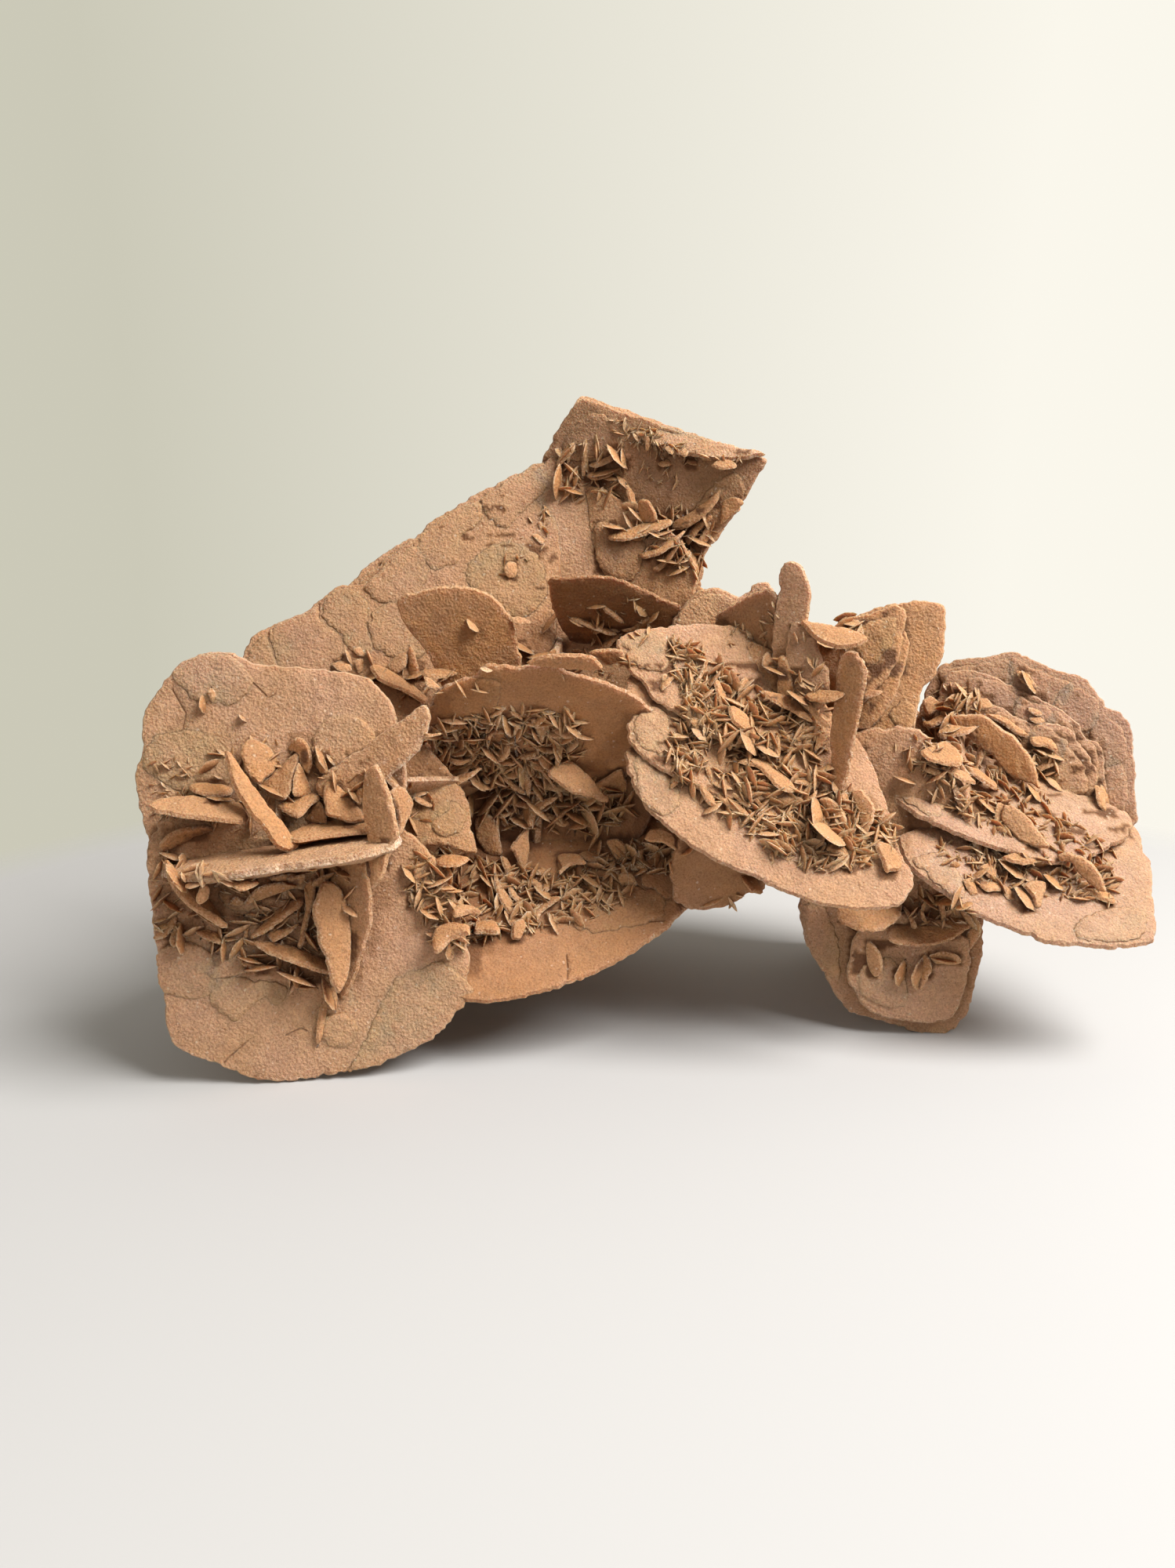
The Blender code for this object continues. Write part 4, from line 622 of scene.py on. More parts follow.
        (25, 2.2, (680, 970, 720, 910, 770, 840, 785, 870, 782, 980, 765, 1080, 740, 1090, 710, 1020)),
        (30, 1.8, (630, 1010, 670, 1030, 710, 1110, 715, 1150, 670, 1110, 640, 1060)),
        (40, 2.0, (770, 840, 790, 780, 830, 730, 890, 705, 930, 710, 880, 750, 820, 800, 790, 850)),
        (40, 1.8, (850, 780, 900, 800, 960, 820, 1000, 855, 940, 852, 880, 812)),
        (40, 1.6, (930, 780, 1000, 740, 1060, 705, 1050, 725, 980, 772, 920, 802)),
        (30, 1.8, (1000, 740, 1030, 720, 1025, 800, 1020, 890, 1005, 910, 1005, 820)),
        (35, 1.6, (1060, 840, 1090, 780, 1130, 720, 1120, 760, 1090, 820, 1070, 862)),
        (35, 1.8, (1115, 860, 1130, 800, 1170, 740, 1187, 730, 1190, 800, 1160, 805, 1125, 862)),
        (25, 2.0, (910, 360, 940, 370, 960, 440, 940, 530, 920, 560, 910, 460, 900, 400)),
        (40, 1.8, (920, 270, 970, 290, 1010, 340, 1050, 400, 1030, 402, 990, 362, 940, 302)),
        (30, 1.2, (960, 240, 985, 250, 990, 300, 970, 290)),
        (20, 1.8, (780, 305, 830, 300, 885, 325, 870, 380, 850, 430, 820, 370)),
        (35, 1.6, (625, 265, 660, 330, 690, 390, 680, 397, 645, 342, 628, 300)),
        (35, 1.6, (540, 390, 575, 320, 615, 265, 602, 310, 570, 372, 532, 422)),
        (45, 1.4, (670, 260, 720, 270, 750, 310, 762, 327, 710, 302)),
        (30, 1.4, (330, 345, 360, 370, 390, 450, 380, 452, 345, 402)),
        (50, 1.4, (390, 340, 430, 300, 490, 290, 530, 320, 542, 342, 480, 312, 430, 322, 400, 347)),
        (50, 1.2, (230, 380, 290, 385, 332, 380, 270, 402)),
        (45, 1.4, (260, 400, 290, 430, 330, 460, 342, 472, 290, 462, 262, 427)),
        (50, 1.6, (340, 480, 400, 510, 470, 510, 520, 490, 450, 542, 380, 532)),
        (50, 1.4, (560, 390, 600, 350, 650, 350, 672, 400, 640, 382, 590, 392, 570, 432)),
        (40, 1.6, (600, 470, 640, 460, 662, 420, 682, 440, 672, 500, 630, 532, 590, 522)),
        (30, 1.6, (700, 345, 740, 330, 780, 320, 725, 362, 720, 420, 722, 500, 705, 482)),
        (55, 1.6, (720, 490, 800, 470, 832, 465, 810, 502, 740, 512)),
        (50, 1.8, (405, 605, 480, 580, 552, 545, 500, 602, 430, 642, 405, 642)),
        (45, 1.6, (540, 610, 570, 590, 620, 620, 662, 652, 600, 642, 560, 642)),
        (55, 1.6, (580, 710, 640, 700, 720, 720, 812, 752, 760, 762, 660, 742, 590, 732)),
        (-30, 1.4, (575, 690, 592, 700, 612, 800, 600, 812, 580, 762)),
        (45, 1.4, (610, 800, 660, 770, 722, 750, 700, 782, 640, 812)),
        (45, 1.4, (635, 820, 680, 850, 722, 892, 700, 884, 650, 852)),
        (40, 1.4, (700, 850, 720, 800, 780, 750, 802, 760, 760, 802, 720, 852)),
        (-10, 2.2, (1365, 920, 1400, 870, 1450, 865, 1510, 890, 1535, 940, 1530, 975, 1460, 945, 1400,
            942)),
        (-20, 2.2, (1180, 930, 1230, 920, 1270, 950, 1272, 1020, 1230, 1032, 1200, 982)),
        (50, 2.2, (920, 1020, 980, 995, 1040, 1010, 1072, 1050, 1000, 1052, 950, 1092, 925, 1122, 938,
            1060)),
        (50, 2.0, (1030, 995, 1090, 990, 1150, 1000, 1212, 1022, 1150, 1037, 1080, 1032)),
        (40, 1.6, (1140, 1140, 1180, 1080, 1217, 1040, 1205, 1082, 1170, 1132)),
        (30, 1.2, (1220, 1130, 1240, 1060, 1252, 1070, 1240, 1132)),
        (-30, 2.0, (1240, 1100, 1290, 1090, 1332, 1150, 1280, 1172, 1250, 1152)),
        (50, 1.4, (1260, 1080, 1310, 1050, 1352, 1045, 1320, 1072)),
        (30, 1.4, (1340, 980, 1362, 980, 1377, 1050, 1365, 1082, 1345, 1042)),
        (30, 1.8, (160, 1170, 190, 1200, 217, 1260, 205, 1277, 170, 1232)),
        (25, 1.6, (195, 1080, 215, 1000, 227, 1060, 227, 1140, 205, 1152)),
        (25, 1.4, (240, 1060, 262, 1100, 262, 1160, 245, 1162)),
        (45, 2.0, (300, 1040, 350, 1010, 420, 1010, 472, 1030, 420, 1062, 340, 1062)),
        (30, 1.6, (500, 1050, 520, 1000, 532, 1060, 500, 1122, 480, 1142)),
        (35, 2.0, (600, 1090, 640, 1150, 690, 1230, 722, 1300, 700, 1322, 650, 1262, 610, 1182)),
        (35, 1.6, (670, 1160, 720, 1210, 772, 1262, 750, 1262, 690, 1212)),
        (50, 1.8, (770, 1080, 810, 1060, 860, 1070, 892, 1102, 830, 1102)),
        (45, 1.8, (720, 1170, 750, 1120, 800, 1120, 852, 1160, 820, 1202, 800, 1162, 750, 1162, 730,
            1192)),
        (45, 1.8, (830, 1210, 850, 1150, 900, 1130, 952, 1150, 962, 1182, 900, 1172, 860, 1202)),
        (45, 2.0, (800, 1290, 830, 1240, 900, 1220, 952, 1220, 890, 1262, 840, 1302, 820, 1342)),
        (40, 4.0, (290, 1450, 320, 1380, 400, 1355, 470, 1370, 482, 1410, 430, 1422, 380, 1452, 330,
            1492, 300, 1502)),
        (45, 3.6, (500, 1360, 570, 1345, 620, 1360, 632, 1400, 560, 1404, 500, 1402)),
        (45, 3.0, (380, 1290, 420, 1260, 500, 1270, 542, 1302, 480, 1304, 400, 1322)),
        (25, 3.0, (690, 1400, 700, 1350, 750, 1330, 767, 1370, 740, 1432, 700, 1434)),
        (25, 1.8, (360, 1440, 380, 1440, 402, 1500, 382, 1542, 360, 1502)),
        (25, 2.2, (885, 1310, 910, 1290, 945, 1300, 950, 1340, 905, 1350)),
    )),
    "top_fins": ("top", (
        (30, 1.8, (560, 225, 572, 260, 567, 330, 552, 387, 545, 350, 550, 270)),
        (35, 1.6, (460, 310, 490, 270, 522, 255, 510, 292, 470, 332, 450, 352)),
        (30, 1.6, (460, 360, 472, 380, 467, 440, 450, 482, 443, 450, 450, 390)),
        (40, 1.4, (640, 265, 680, 280, 724, 327, 700, 317, 660, 292)),
        (30, 1.2, (700, 300, 715, 330, 712, 370, 700, 352)),
        (50, 1.4, (570, 340, 630, 320, 682, 295, 660, 322, 600, 352)),
        (55, 1.4, (560, 370, 640, 360, 702, 345, 640, 387, 590, 397)),
        (35, 1.6, (710, 400, 740, 440, 762, 500, 757, 530, 740, 502, 718, 452)),
        (-30, 1.8, (765, 480, 790, 470, 812, 490, 832, 547, 790, 562, 765, 532)),
        (50, 2.0, (645, 610, 720, 590, 800, 560, 892, 548, 880, 572, 800, 602, 720, 627, 660, 630)),
        (-50, 1.6, (800, 590, 840, 600, 887, 620, 840, 624)),
        (50, 1.8, (765, 680, 830, 660, 900, 620, 952, 580, 900, 642, 840, 682, 780, 697)),
        (40, 1.8, (900, 560, 970, 520, 1020, 480, 1080, 430, 1060, 482, 1010, 542, 950, 582, 900, 592)),
        (40, 1.6, (940, 620, 980, 560, 1030, 530, 1047, 545, 1000, 592, 960, 642)),
        (35, 1.6, (990, 640, 1010, 590, 1040, 560, 1042, 600, 1010, 652)),
        (45, 1.8, (820, 740, 870, 700, 920, 650, 942, 660, 890, 712, 840, 747)),
        (40, 1.6, (880, 740, 930, 700, 955, 660, 962, 690, 920, 732)),
        (-35, 1.6, (930, 625, 960, 680, 992, 740, 985, 762, 950, 712, 925, 652)),
        (-30, 1.4, (965, 650, 1002, 700, 1002, 742, 980, 722)),
        (20, 1.8, (1090, 480, 1130, 465, 1162, 490, 1120, 532, 1080, 562)),
        (40, 1.2, (790, 260, 800, 230, 817, 250, 800, 292)),
        (50, 1.4, (840, 330, 880, 318, 892, 340, 850, 348)),
        (40, 1.4, (910, 290, 940, 265, 957, 290, 940, 312)),
        (50, 1.2, (950, 315, 985, 325, 988, 342, 950, 332)),
        (50, 1.6, (1040, 340, 1080, 320, 1130, 328, 1137, 347, 1080, 357)),
        (40, 1.2, (860, 275, 880, 260, 907, 270, 890, 302)),
        (40, 1.0, (360, 605, 380, 608, 404, 632, 390, 634)),
        (30, 1.0, (380, 560, 395, 558, 400, 600, 385, 592)),
        (30, 1.6, (250, 740, 268, 705, 300, 718, 294, 760, 265, 772)),
        (40, 1.2, (270, 930, 310, 920, 352, 940, 300, 952)),
        (60, 1.8, (490, 920, 560, 935, 620, 960, 687, 990, 640, 987, 560, 957)),
        (40, 1.6, (615, 865, 660, 895, 717, 945, 690, 942, 640, 902)),
        (-30, 1.8, (680, 970, 740, 960, 790, 930, 817, 905, 802, 952, 740, 977)),
        (40, 1.4, (600, 1040, 660, 1000, 700, 985, 660, 1030, 620, 1050)),
        (-45, 2.6, (335, 1100, 400, 1065, 500, 1058, 580, 1065, 617, 1090, 622, 1117, 520, 1122, 420,
            1112)),
        (-35, 2.2, (570, 1050, 650, 1040, 700, 1050, 717, 1092, 650, 1102, 600, 1072)),
    )),
    "bunch_fins": ("top", (
        (30, 1.4, (1430, 810, 1460, 815, 1477, 850, 1440, 882, 1430, 842)),
        (35, 1.4, (1440, 885, 1470, 900, 1487, 950, 1450, 932)),
        (40, 1.6, (1470, 890, 1530, 930, 1542, 965, 1500, 952)),
        (45, 3.2, (1380, 935, 1450, 950, 1550, 965, 1645, 1005, 1600, 1032, 1520, 1042, 1450, 1012,
            1400, 962)),
        (20, 1.6, (1565, 935, 1610, 925, 1622, 960, 1622, 992, 1570, 967)),
    )),
    "right_fins": ("right", (
        (-20, 2.6, (490, 440, 560, 425, 640, 440, 720, 490, 790, 540, 840, 600, 880, 670, 907, 785, 870,
            770, 800, 750, 740, 715, 690, 650, 620, 590, 550, 530, 500, 480)),
        (45, 2.0, (640, 430, 720, 440, 800, 480, 862, 532, 800, 532, 720, 472)),
        (-30, 2.4, (630, 490, 657, 500, 647, 580, 627, 640, 612, 692, 590, 672, 605, 600, 600, 540)),
        (50, 2.2, (410, 520, 470, 480, 560, 490, 612, 480, 560, 522, 480, 542, 430, 547)),
        (40, 2.0, (320, 610, 370, 580, 440, 565, 500, 600, 532, 650, 510, 682, 430, 672, 360, 652)),
        (50, 2.2, (330, 440, 360, 465, 420, 440, 482, 430, 440, 462, 380, 492, 340, 482)),
        (20, 2.2, (335, 355, 380, 340, 412, 370, 400, 422, 360, 432, 340, 402)),
        (45, 1.8, (330, 690, 380, 680, 430, 710, 442, 742, 380, 722)),
        (45, 2.2, (420, 680, 490, 690, 550, 720, 592, 772, 540, 764, 470, 724)),
        (45, 2.2, (520, 680, 590, 690, 650, 740, 702, 782, 690, 802, 620, 764, 560, 714)),
        (-20, 2.6, (730, 870, 790, 880, 850, 930, 900, 980, 940, 1040, 962, 1082, 900, 1084, 820, 1045,
            760, 1005, 715, 950)),
        (25, 1.8, (700, 860, 742, 880, 724, 960, 700, 982, 690, 920)),
        (-25, 2.8, (990, 1120, 1040, 1100, 1110, 1120, 1180, 1170, 1220, 1230, 1232, 1292, 1190, 1284,
            1130, 1242, 1080, 1190, 1060, 1152, 1010, 1150)),
        (45, 2.4, (1110, 1290, 1180, 1290, 1250, 1310, 1287, 1362, 1240, 1354, 1170, 1324)),
        (50, 2.2, (720, 1130, 780, 1115, 840, 1130, 892, 1152, 830, 1164, 750, 1152)),
        (20, 2.2, (830, 1270, 870, 1240, 930, 1250, 942, 1292, 912, 1382, 890, 1382, 870, 1322)),
        (40, 2.2, (610, 1180, 650, 1160, 692, 1190, 702, 1232, 660, 1234, 630, 1202)),
        (45, 2.0, (600, 1250, 650, 1240, 712, 1270, 722, 1292, 650, 1292)),
        (40, 2.0, (720, 1270, 760, 1290, 782, 1342, 750, 1334)),
        (30, 2.0, (540, 1240, 572, 1230, 607, 1312, 570, 1312)),
        (40, 1.6, (800, 210, 850, 230, 902, 290, 890, 302, 820, 272)),
        (45, 1.2, (845, 402, 890, 400, 931, 430, 900, 434)),
        (45, 1.2, (860, 450, 900, 440, 932, 470, 890, 474)),
        (35, 1.6, (1185, 780, 1212, 790, 1242, 890, 1230, 912, 1190, 862)),
        (25, 1.8, (590, 360, 650, 350, 682, 400, 640, 412, 600, 400)),
        (45, 1.4, (870, 700, 930, 664, 1020, 655, 960, 690, 890, 712)),
        (50, 2.0, (860, 545, 920, 545, 972, 560, 1000, 620, 930, 590, 880, 580)),
        (-25, 2.2, (60, 1550, 80, 1540, 122, 1590, 142, 1650, 132, 1702, 100, 1717, 75, 1670, 60,
            1600)),
        (-30, 1.2, (245, 1620, 257, 1640, 252, 1690, 235, 1752, 220, 1742, 227, 1680)),
        (-25, 1.6, (330, 1620, 350, 1600, 372, 1640, 382, 1690, 350, 1752, 325, 1782, 305, 1742, 315,
            1680)),
        (-45, 1.6, (360, 1610, 430, 1590, 500, 1610, 522, 1642, 450, 1652, 390, 1642)),
        (-20, 1.6, (550, 1500, 590, 1470, 622, 1480, 602, 1540, 565, 1592)),
        (-30, 1.6, (240, 1360, 272, 1400, 302, 1472, 280, 1474)),
        (-30, 1.6, (310, 1330, 342, 1400, 362, 1467, 330, 1432)),
        (-20, 1.8, (410, 1340, 442, 1350, 452, 1420, 430, 1452, 415, 1402)),
    )),
}


def facing(turn, lean):
    """The outward normal of a plate that is turned and leans by these degrees."""
    turn, lean = math.radians(turn), math.radians(lean)
    return np.array((math.sin(turn) * math.cos(lean), -math.cos(turn) * math.cos(lean), math.sin(lean)))


def unit(vector):
    return vector / np.linalg.norm(vector)


def in_space(x, z, depth):
    """The point at this depth on the sight line through (x, z) of the board, in mm."""
    return SIGHT + (np.array((x, 0.0, z)) - SIGHT) * (1.0 + depth / -SIGHT[1])


def on_board(across, down):
    """The board point, to half a millimetre, that is seen at a place of the frame."""
    tip = math.radians(CAMERA_DOWN)
    aside = (across - FRAME_MIDDLE[0]) / FRAME_REACH
    up = (FRAME_MIDDLE[1] - down) / FRAME_REACH
    away = -SIGHT[1] / (math.cos(tip) + up * math.sin(tip))
    height = SIGHT[2] + (up * math.cos(tip) - math.sin(tip)) * away
    return round(aside * away * 2) / 2, round(height * 2) / 2


def drawn_corners(window, corners):
    """Board points from corners that are drawn in a window of the frame."""
    left, top, scale = WINDOWS[window]
    return [on_board(left + x * scale, top + y * scale) for x, y in zip(corners[::2], corners[1::2])]


def on_plane(x, z, point, normal):
    """Where the sight line through (x, z) of the board meets the plane."""
    ray = np.array((x, 0.0, z)) - SIGHT
    return SIGHT + ray * ((point - SIGHT).dot(normal) / ray.dot(normal))


def grain(points, size, seed=0.0):
    """Smooth noise of about -1 to 1 at each point, with features of this size in mm."""
    shift = Vector((seed * 17.3, seed * 5.1, seed * 9.7))
    return np.array([noise.noise(Vector(point) / size + shift) for point in points])


class Lump:
    """Closed shells gathered into one mesh, in mm, with three marks on every point.

    The marks are how pale and worn it is, how amber (its own tone, with painted warm shade in hollows), and
    how dark with painted shade (on fins and crystals a little random tone).
    """

    def __init__(self):
        self.points, self.marks, self.faces, self.size = [], [], [], 0

    def add(self, points, faces, pale, amber, dark):
        self.points.append(points)
        marks = [np.broadcast_to(mark, len(points)) for mark in (pale, amber, dark)]
        self.marks.append(np.column_stack(marks))
        self.faces.append(np.asarray(faces) + self.size)
        self.size += len(points)

    def whole(self):
        points = np.concatenate(self.points)
        points[:, 2] = np.maximum(points[:, 2], 0.0)
        return points, np.concatenate(self.faces)


def smooth_loop(corners, spacing):
    """A closed curve through the corners, as points about this far apart."""
    corners = np.asarray(corners, float)
    before, after, beyond = (np.roll(corners, shift, 0) for shift in (1, -1, -2))
    points = []
    for a, b, c, d in zip(before, corners, after, beyond):
        steps = max(1, round(np.linalg.norm(c - b) / spacing))
        t = (np.arange(steps) / steps)[:, None]
        round_way = 0.5 * (2 * b + (c - a) * t + (2 * a - 5 * b + 4 * c - d) * t * t
                           + (3 * b - a - 3 * c + d) * t ** 3)
        points.append(round_way * ROUND_SHARE + (b + (c - b) * t) * STRAIGHT_SHARE)
    return np.concatenate(points)


def loop_normals(loop):
    """The way out of a loop that runs anticlockwise, at each of its points."""
    run = np.roll(loop, -1, 0) - np.roll(loop, 1, 0)
    out = np.column_stack((run[:, 1], -run[:, 0]))
    return out / np.maximum(np.linalg.norm(out, axis=1), 1e-9)[:, None]


def depth_inside(points, loop):
    """How far in from the loop each point lies, in mm, and below 0 outside it."""
    a, b = loop, np.roll(loop, -1, 0)
    run = b - a
    offset = points[:, None] - a
    share = np.clip((offset * run).sum(2) / (run * run).sum(1), 0, 1)
    away = np.sqrt(((offset - share[..., None] * run) ** 2).sum(2).min(1))
    rises = (a[:, 1] > points[:, None, 1]) != (b[:, 1] > points[:, None, 1])
    with np.errstate(divide="ignore", invalid="ignore"):
        crossing = a[:, 0] + (points[:, None, 1] - a[:, 1]) * run[:, 0] / run[:, 1]
    inside = (rises & (points[:, None, 0] < crossing)).sum(1) % 2 == 1
    return np.where(inside, away, -away)


def worn(loop, amount, seed):
    """The loop with the nicks and waves that a crystal's rim wears to."""
    flat = np.column_stack((loop, np.zeros(len(loop))))
    waves = grain(flat, 5.0, seed) * 0.9 + grain(flat, 1.7, seed + 3) * 0.8
    waves = waves + grain(flat, 0.8, seed + 4) * 0.45
    nicks = np.maximum(grain(flat, 2.4, seed + 7) - 0.25, 0.0) * 3.2
    return loop + loop_normals(loop) * ((waves - nicks) * amount)[:, None]


def sheet_points(loop, spacing, extra):
    """Points inside the loop on a triangular net, with a ring just inside it, and the extra ones."""
    low, high = loop.min(0), loop.max(0)
    rows = np.arange(low[1], high[1], spacing * math.sqrt(0.75))
    columns = np.arange(low[0], high[0], spacing)
    net = np.array([(x + spacing / 2 * (i % 2), y) for i, y in enumerate(rows) for x in columns])
    jitter = np.random.default_rng(GROWTH_SEED).uniform(-0.2, 0.2, net.shape) * spacing
    net = net + jitter
    net = net[depth_inside(net, loop) > RIM_RING + spacing * 0.45]
    ring = loop - loop_normals(loop) * RIM_RING
    ring = ring[depth_inside(ring, loop) > RIM_RING * 0.7]
    if len(extra):
        extra = extra[depth_inside(extra, loop) > RIM_RING * 2]
        near = np.linalg.norm(net[:, None] - extra, axis=2).min(1)
        net = net[near > spacing * 0.5]
        return np.concatenate((ring, net, extra))
    return np.concatenate((ring, net))


def crack_points(paths, spacing=0.7, flank=0.35):
    """Points along the cracks, and on both flanks of them."""
    middle, sides = [], []
    for path in paths:
        path = np.array(path)
        for a, b in zip(path[:-1], path[1:]):
            run = unit(b - a)
            across = np.array((run[1], -run[0])) * flank
            for step in np.arange(0, np.linalg.norm(b - a), spacing):
                middle.append(a + run * step)
                sides += [middle[-1] + across, middle[-1] - across]
    return np.array(middle).reshape(-1, 2), np.array(sides).reshape(-1, 2)


def anticlockwise(flat):
    """The corners in the order that runs anticlockwise."""
    run = np.roll(flat, -1, 0) - flat
    area = (flat[:, 0] * run[:, 1] - flat[:, 1] * run[:, 0]).sum()
    return flat[::-1] if area < 0 else flat


def rim_points(triangles, count):
    """Which of the points lie on an edge that only one triangle has."""
    shared = {}
    for triangle in triangles.tolist():
        for i in range(3):
            edge = tuple(sorted((triangle[i - 1], triangle[i])))
            shared[edge] = shared.get(edge, 0) + 1
    on_rim = np.zeros(count, bool)
    on_rim[[end for edge, uses in shared.items() if uses == 1 for end in edge]] = True
    return on_rim


def flat_mesh(loop, inner):
    """Points and triangles that fill the loop and pass through the points inside it."""
    corners = [Vector(p) for p in np.concatenate((loop, inner))]
    ends = [(i, (i + 1) % len(loop)) for i in range(len(loop))]
    found, _, triangles, _, _, _ = delaunay_2d_cdt(corners, ends, [], 1, 1e-5)
    found = np.array([tuple(p) for p in found])
    triangles = np.array(triangles)
    a, b, c = (found[triangles[:, i]] for i in range(3))
    turned = (b[:, 0] - a[:, 0]) * (c[:, 1] - a[:, 1]) - (b[:, 1] - a[:, 1]) * (c[:, 0] - a[:, 0]) > 0
    triangles[turned] = triangles[turned][:, ::-1]
    return found, triangles


def uneven(level, seed):
    """The low waves and the crust of a face, in mm, at each of its points."""
    crust = np.maximum(grain(level, 1.6, seed + 5), 0.0)
    crust = crust * np.maximum(grain(level, 9.0, seed + 6) + 0.4, 0.0)
    waves = grain(level, 7.0, seed) * 0.2 + grain(level, 2.3, seed) * 0.12 + grain(level, 1.1, seed) * 0.1
    return waves + crust * 0.7


def groove_at(found, middle):
    """How deep in a crack each point lies, from 0 to 1."""
    if not len(middle):
        return np.zeros(len(found))
    away = np.linalg.norm(found[:, None] - middle, axis=2).min(1)
    return np.exp(-(away / CRACK_WIDTH) ** 2)


def close_shell(lump, triangles, on_rim, faces, marks):
    """Adds a closed shell: one rim, with its own points in front of it and behind it."""
    level, front, back = faces
    count = len(level)
    below = np.where(on_rim, np.arange(count), 0)
    below[~on_rim] = count + np.arange((~on_rim).sum())
    under = below[triangles][:, ::-1]
    marks = [np.concatenate((mark, mark[~on_rim])) for mark in marks]
    points = np.concatenate((np.where(on_rim[:, None], level, front), back[~on_rim]))
    lump.add(points, np.concatenate((triangles, under)), *marks)


def plate_shell(lump, rim, normal, reaches, spacing, tone, seed, cracks=(), wear=0.45, frost=1.0):
    """A plate with a ragged rim and uneven faces, from the corners of its rim in space.

    It reaches out by the first reach as a crisp step, and back by the second as a long curve.
    """
    rim = np.array(rim)
    centre = rim.mean(0)
    side = unit(np.cross(normal, (0.0, 0.001, 1.0)))
    rise = np.cross(side, normal)
    flat = anticlockwise(np.column_stack(((rim - centre) @ side, (rim - centre) @ rise)))
    loop = worn(smooth_loop(flat, spacing * 0.65), wear, seed)
    lines = [[((p - centre) @ side, (p - centre) @ rise) for p in path] for path in cracks]
    middle, flanks = crack_points(lines)
    found, triangles = flat_mesh(loop, sheet_points(loop, spacing, np.concatenate((middle, flanks))))
    on_rim = rim_points(triangles, len(found))
    depth = np.where(on_rim, 0.0, np.maximum(depth_inside(found, loop), 0.05))
    level = centre + found[:, :1] * side + found[:, 1:] * rise
    out, behind = reaches
    out = out * (0.85 * np.minimum(depth / STEP, 1) + 0.15 * np.minimum(depth / 5, 1))
    behind = behind * np.minimum(depth / min(SWELL, behind * 2), 1) ** 0.85
    calm = np.minimum(depth, 1)
    groove = groove_at(found, middle)
    waves = uneven(level, seed)
    front = level + normal * (out + waves * calm - groove * CRACK_DEPTH)[:, None]
    back = level - normal * (behind + (grain(level, 5.0, seed + 2) * 0.3 + waves * 0.4) * calm)[:, None]
    amber, dark = tone
    # The third mark is painted shade: the plate's own, and more along its cracks.
    marks = (
        np.exp(-depth / 0.55) * frost,
        np.full(len(found), amber) + np.exp(-depth / 3.0) * 0.25,
        np.minimum(dark + groove * 0.5, 1))
    close_shell(lump, triangles, on_rim, (level, front, back), marks)


def unit_lens(around, rings):
    """A pointed lens of half size 1: its points and triangles, with how near the rim each point is."""
    angles = np.arange(around) * math.tau / around
    x = np.cos(angles)
    y = np.sign(np.sin(angles)) * (0.8 * (1 - x * x) + 0.2 * np.sqrt(np.maximum(1 - x * x, 0)))
    outline = np.column_stack((x, y))
    points, edge = [np.column_stack((outline, np.zeros(around)))], [np.ones(around)]
    faces = []
    for face in (1, -1):
        last = np.arange(around)
        for ring in rings:
            height = face * (1 - ring) ** 0.6
            points.append(np.column_stack((outline * ring, np.full(around, height))))
            edge.append(np.full(around, max(0.0, (ring - 0.8) * 4)))
            here = np.arange(around) + sum(map(len, points[:-1]))
            quads = np.column_stack((last, np.roll(last, -1), np.roll(here, -1), here))[:, ::face]
            faces += [quads[:, :3], quads[:, [0, 2, 3]]]
            last = here
        points.append(np.array([(0.0, 0.0, face)]))
        edge.append(np.zeros(1))
        tip = np.full(around, sum(map(len, points[:-1])))
        faces.append(np.column_stack((last, np.roll(last, -1), tip))[:, ::face])
    return np.concatenate(points), np.concatenate(faces), np.concatenate(edge)


LENSES = (
    (FINE, unit_lens(8, ())),
    (MIDDLE, unit_lens(8, (0.75,))),
    (LARGE, unit_lens(24, (0.9, 0.7, 0.4))))


def lens(lump, centre, length_axis, breadth_axis, sizes, amber, dark, seed=0.0, sunk_shade=0.0):
    """A lens-shaped crystal about its centre, in space, with painted shade along its sunk side."""
    length, breadth, thickness = sizes
    shape, faces, edge = next(made for longest, made in LENSES if length <= longest)
    thick_axis = unit(np.cross(length_axis, breadth_axis))
    points = (centre + shape[:, :1] * length_axis * length / 2 + shape[:, 1:2] * breadth_axis * breadth / 2
              + shape[:, 2:] * thick_axis * thickness / 2)
    if length > MIDDLE:
        nibble = 1 + (grain(points, 3.4, seed) * 0.05 + grain(points, 1.4, seed) * 0.03)
        points = centre + (points - centre) * nibble[:, None]
    # Painted shade darkens the crystal along its sunk side, where it meets the face.
    lump.add(points, faces, edge, amber, np.minimum(dark + np.clip(0.1 - shape[:, 1], 0, 1) * sunk_shade, 1))


def blade(lump, row, plane, tone, seed):
    """One of BLADES: its length lies across the view, its breadth runs back from it."""
    ax, az, bx, bz, breadth, tilt, thickness, stand = row
    point, normal, _ = plane
    middle = on_plane((ax + bx) / 2, (az + bz) / 2, point + normal * stand, normal)
    a, b = in_space(ax, az, middle[1]), in_space(bx, bz, middle[1])
    axis = unit(b - a)
    sight = unit(middle - SIGHT)
    back = unit(sight - axis * sight.dot(axis))
    across = unit(np.cross(axis, back))
    tilt = math.radians(tilt * 0.5)
    reach = back * math.cos(tilt) + across * math.sin(tilt)
    lens(lump, middle, axis, reach, (np.linalg.norm(b - a), breadth, thickness * 0.8), *tone, seed)


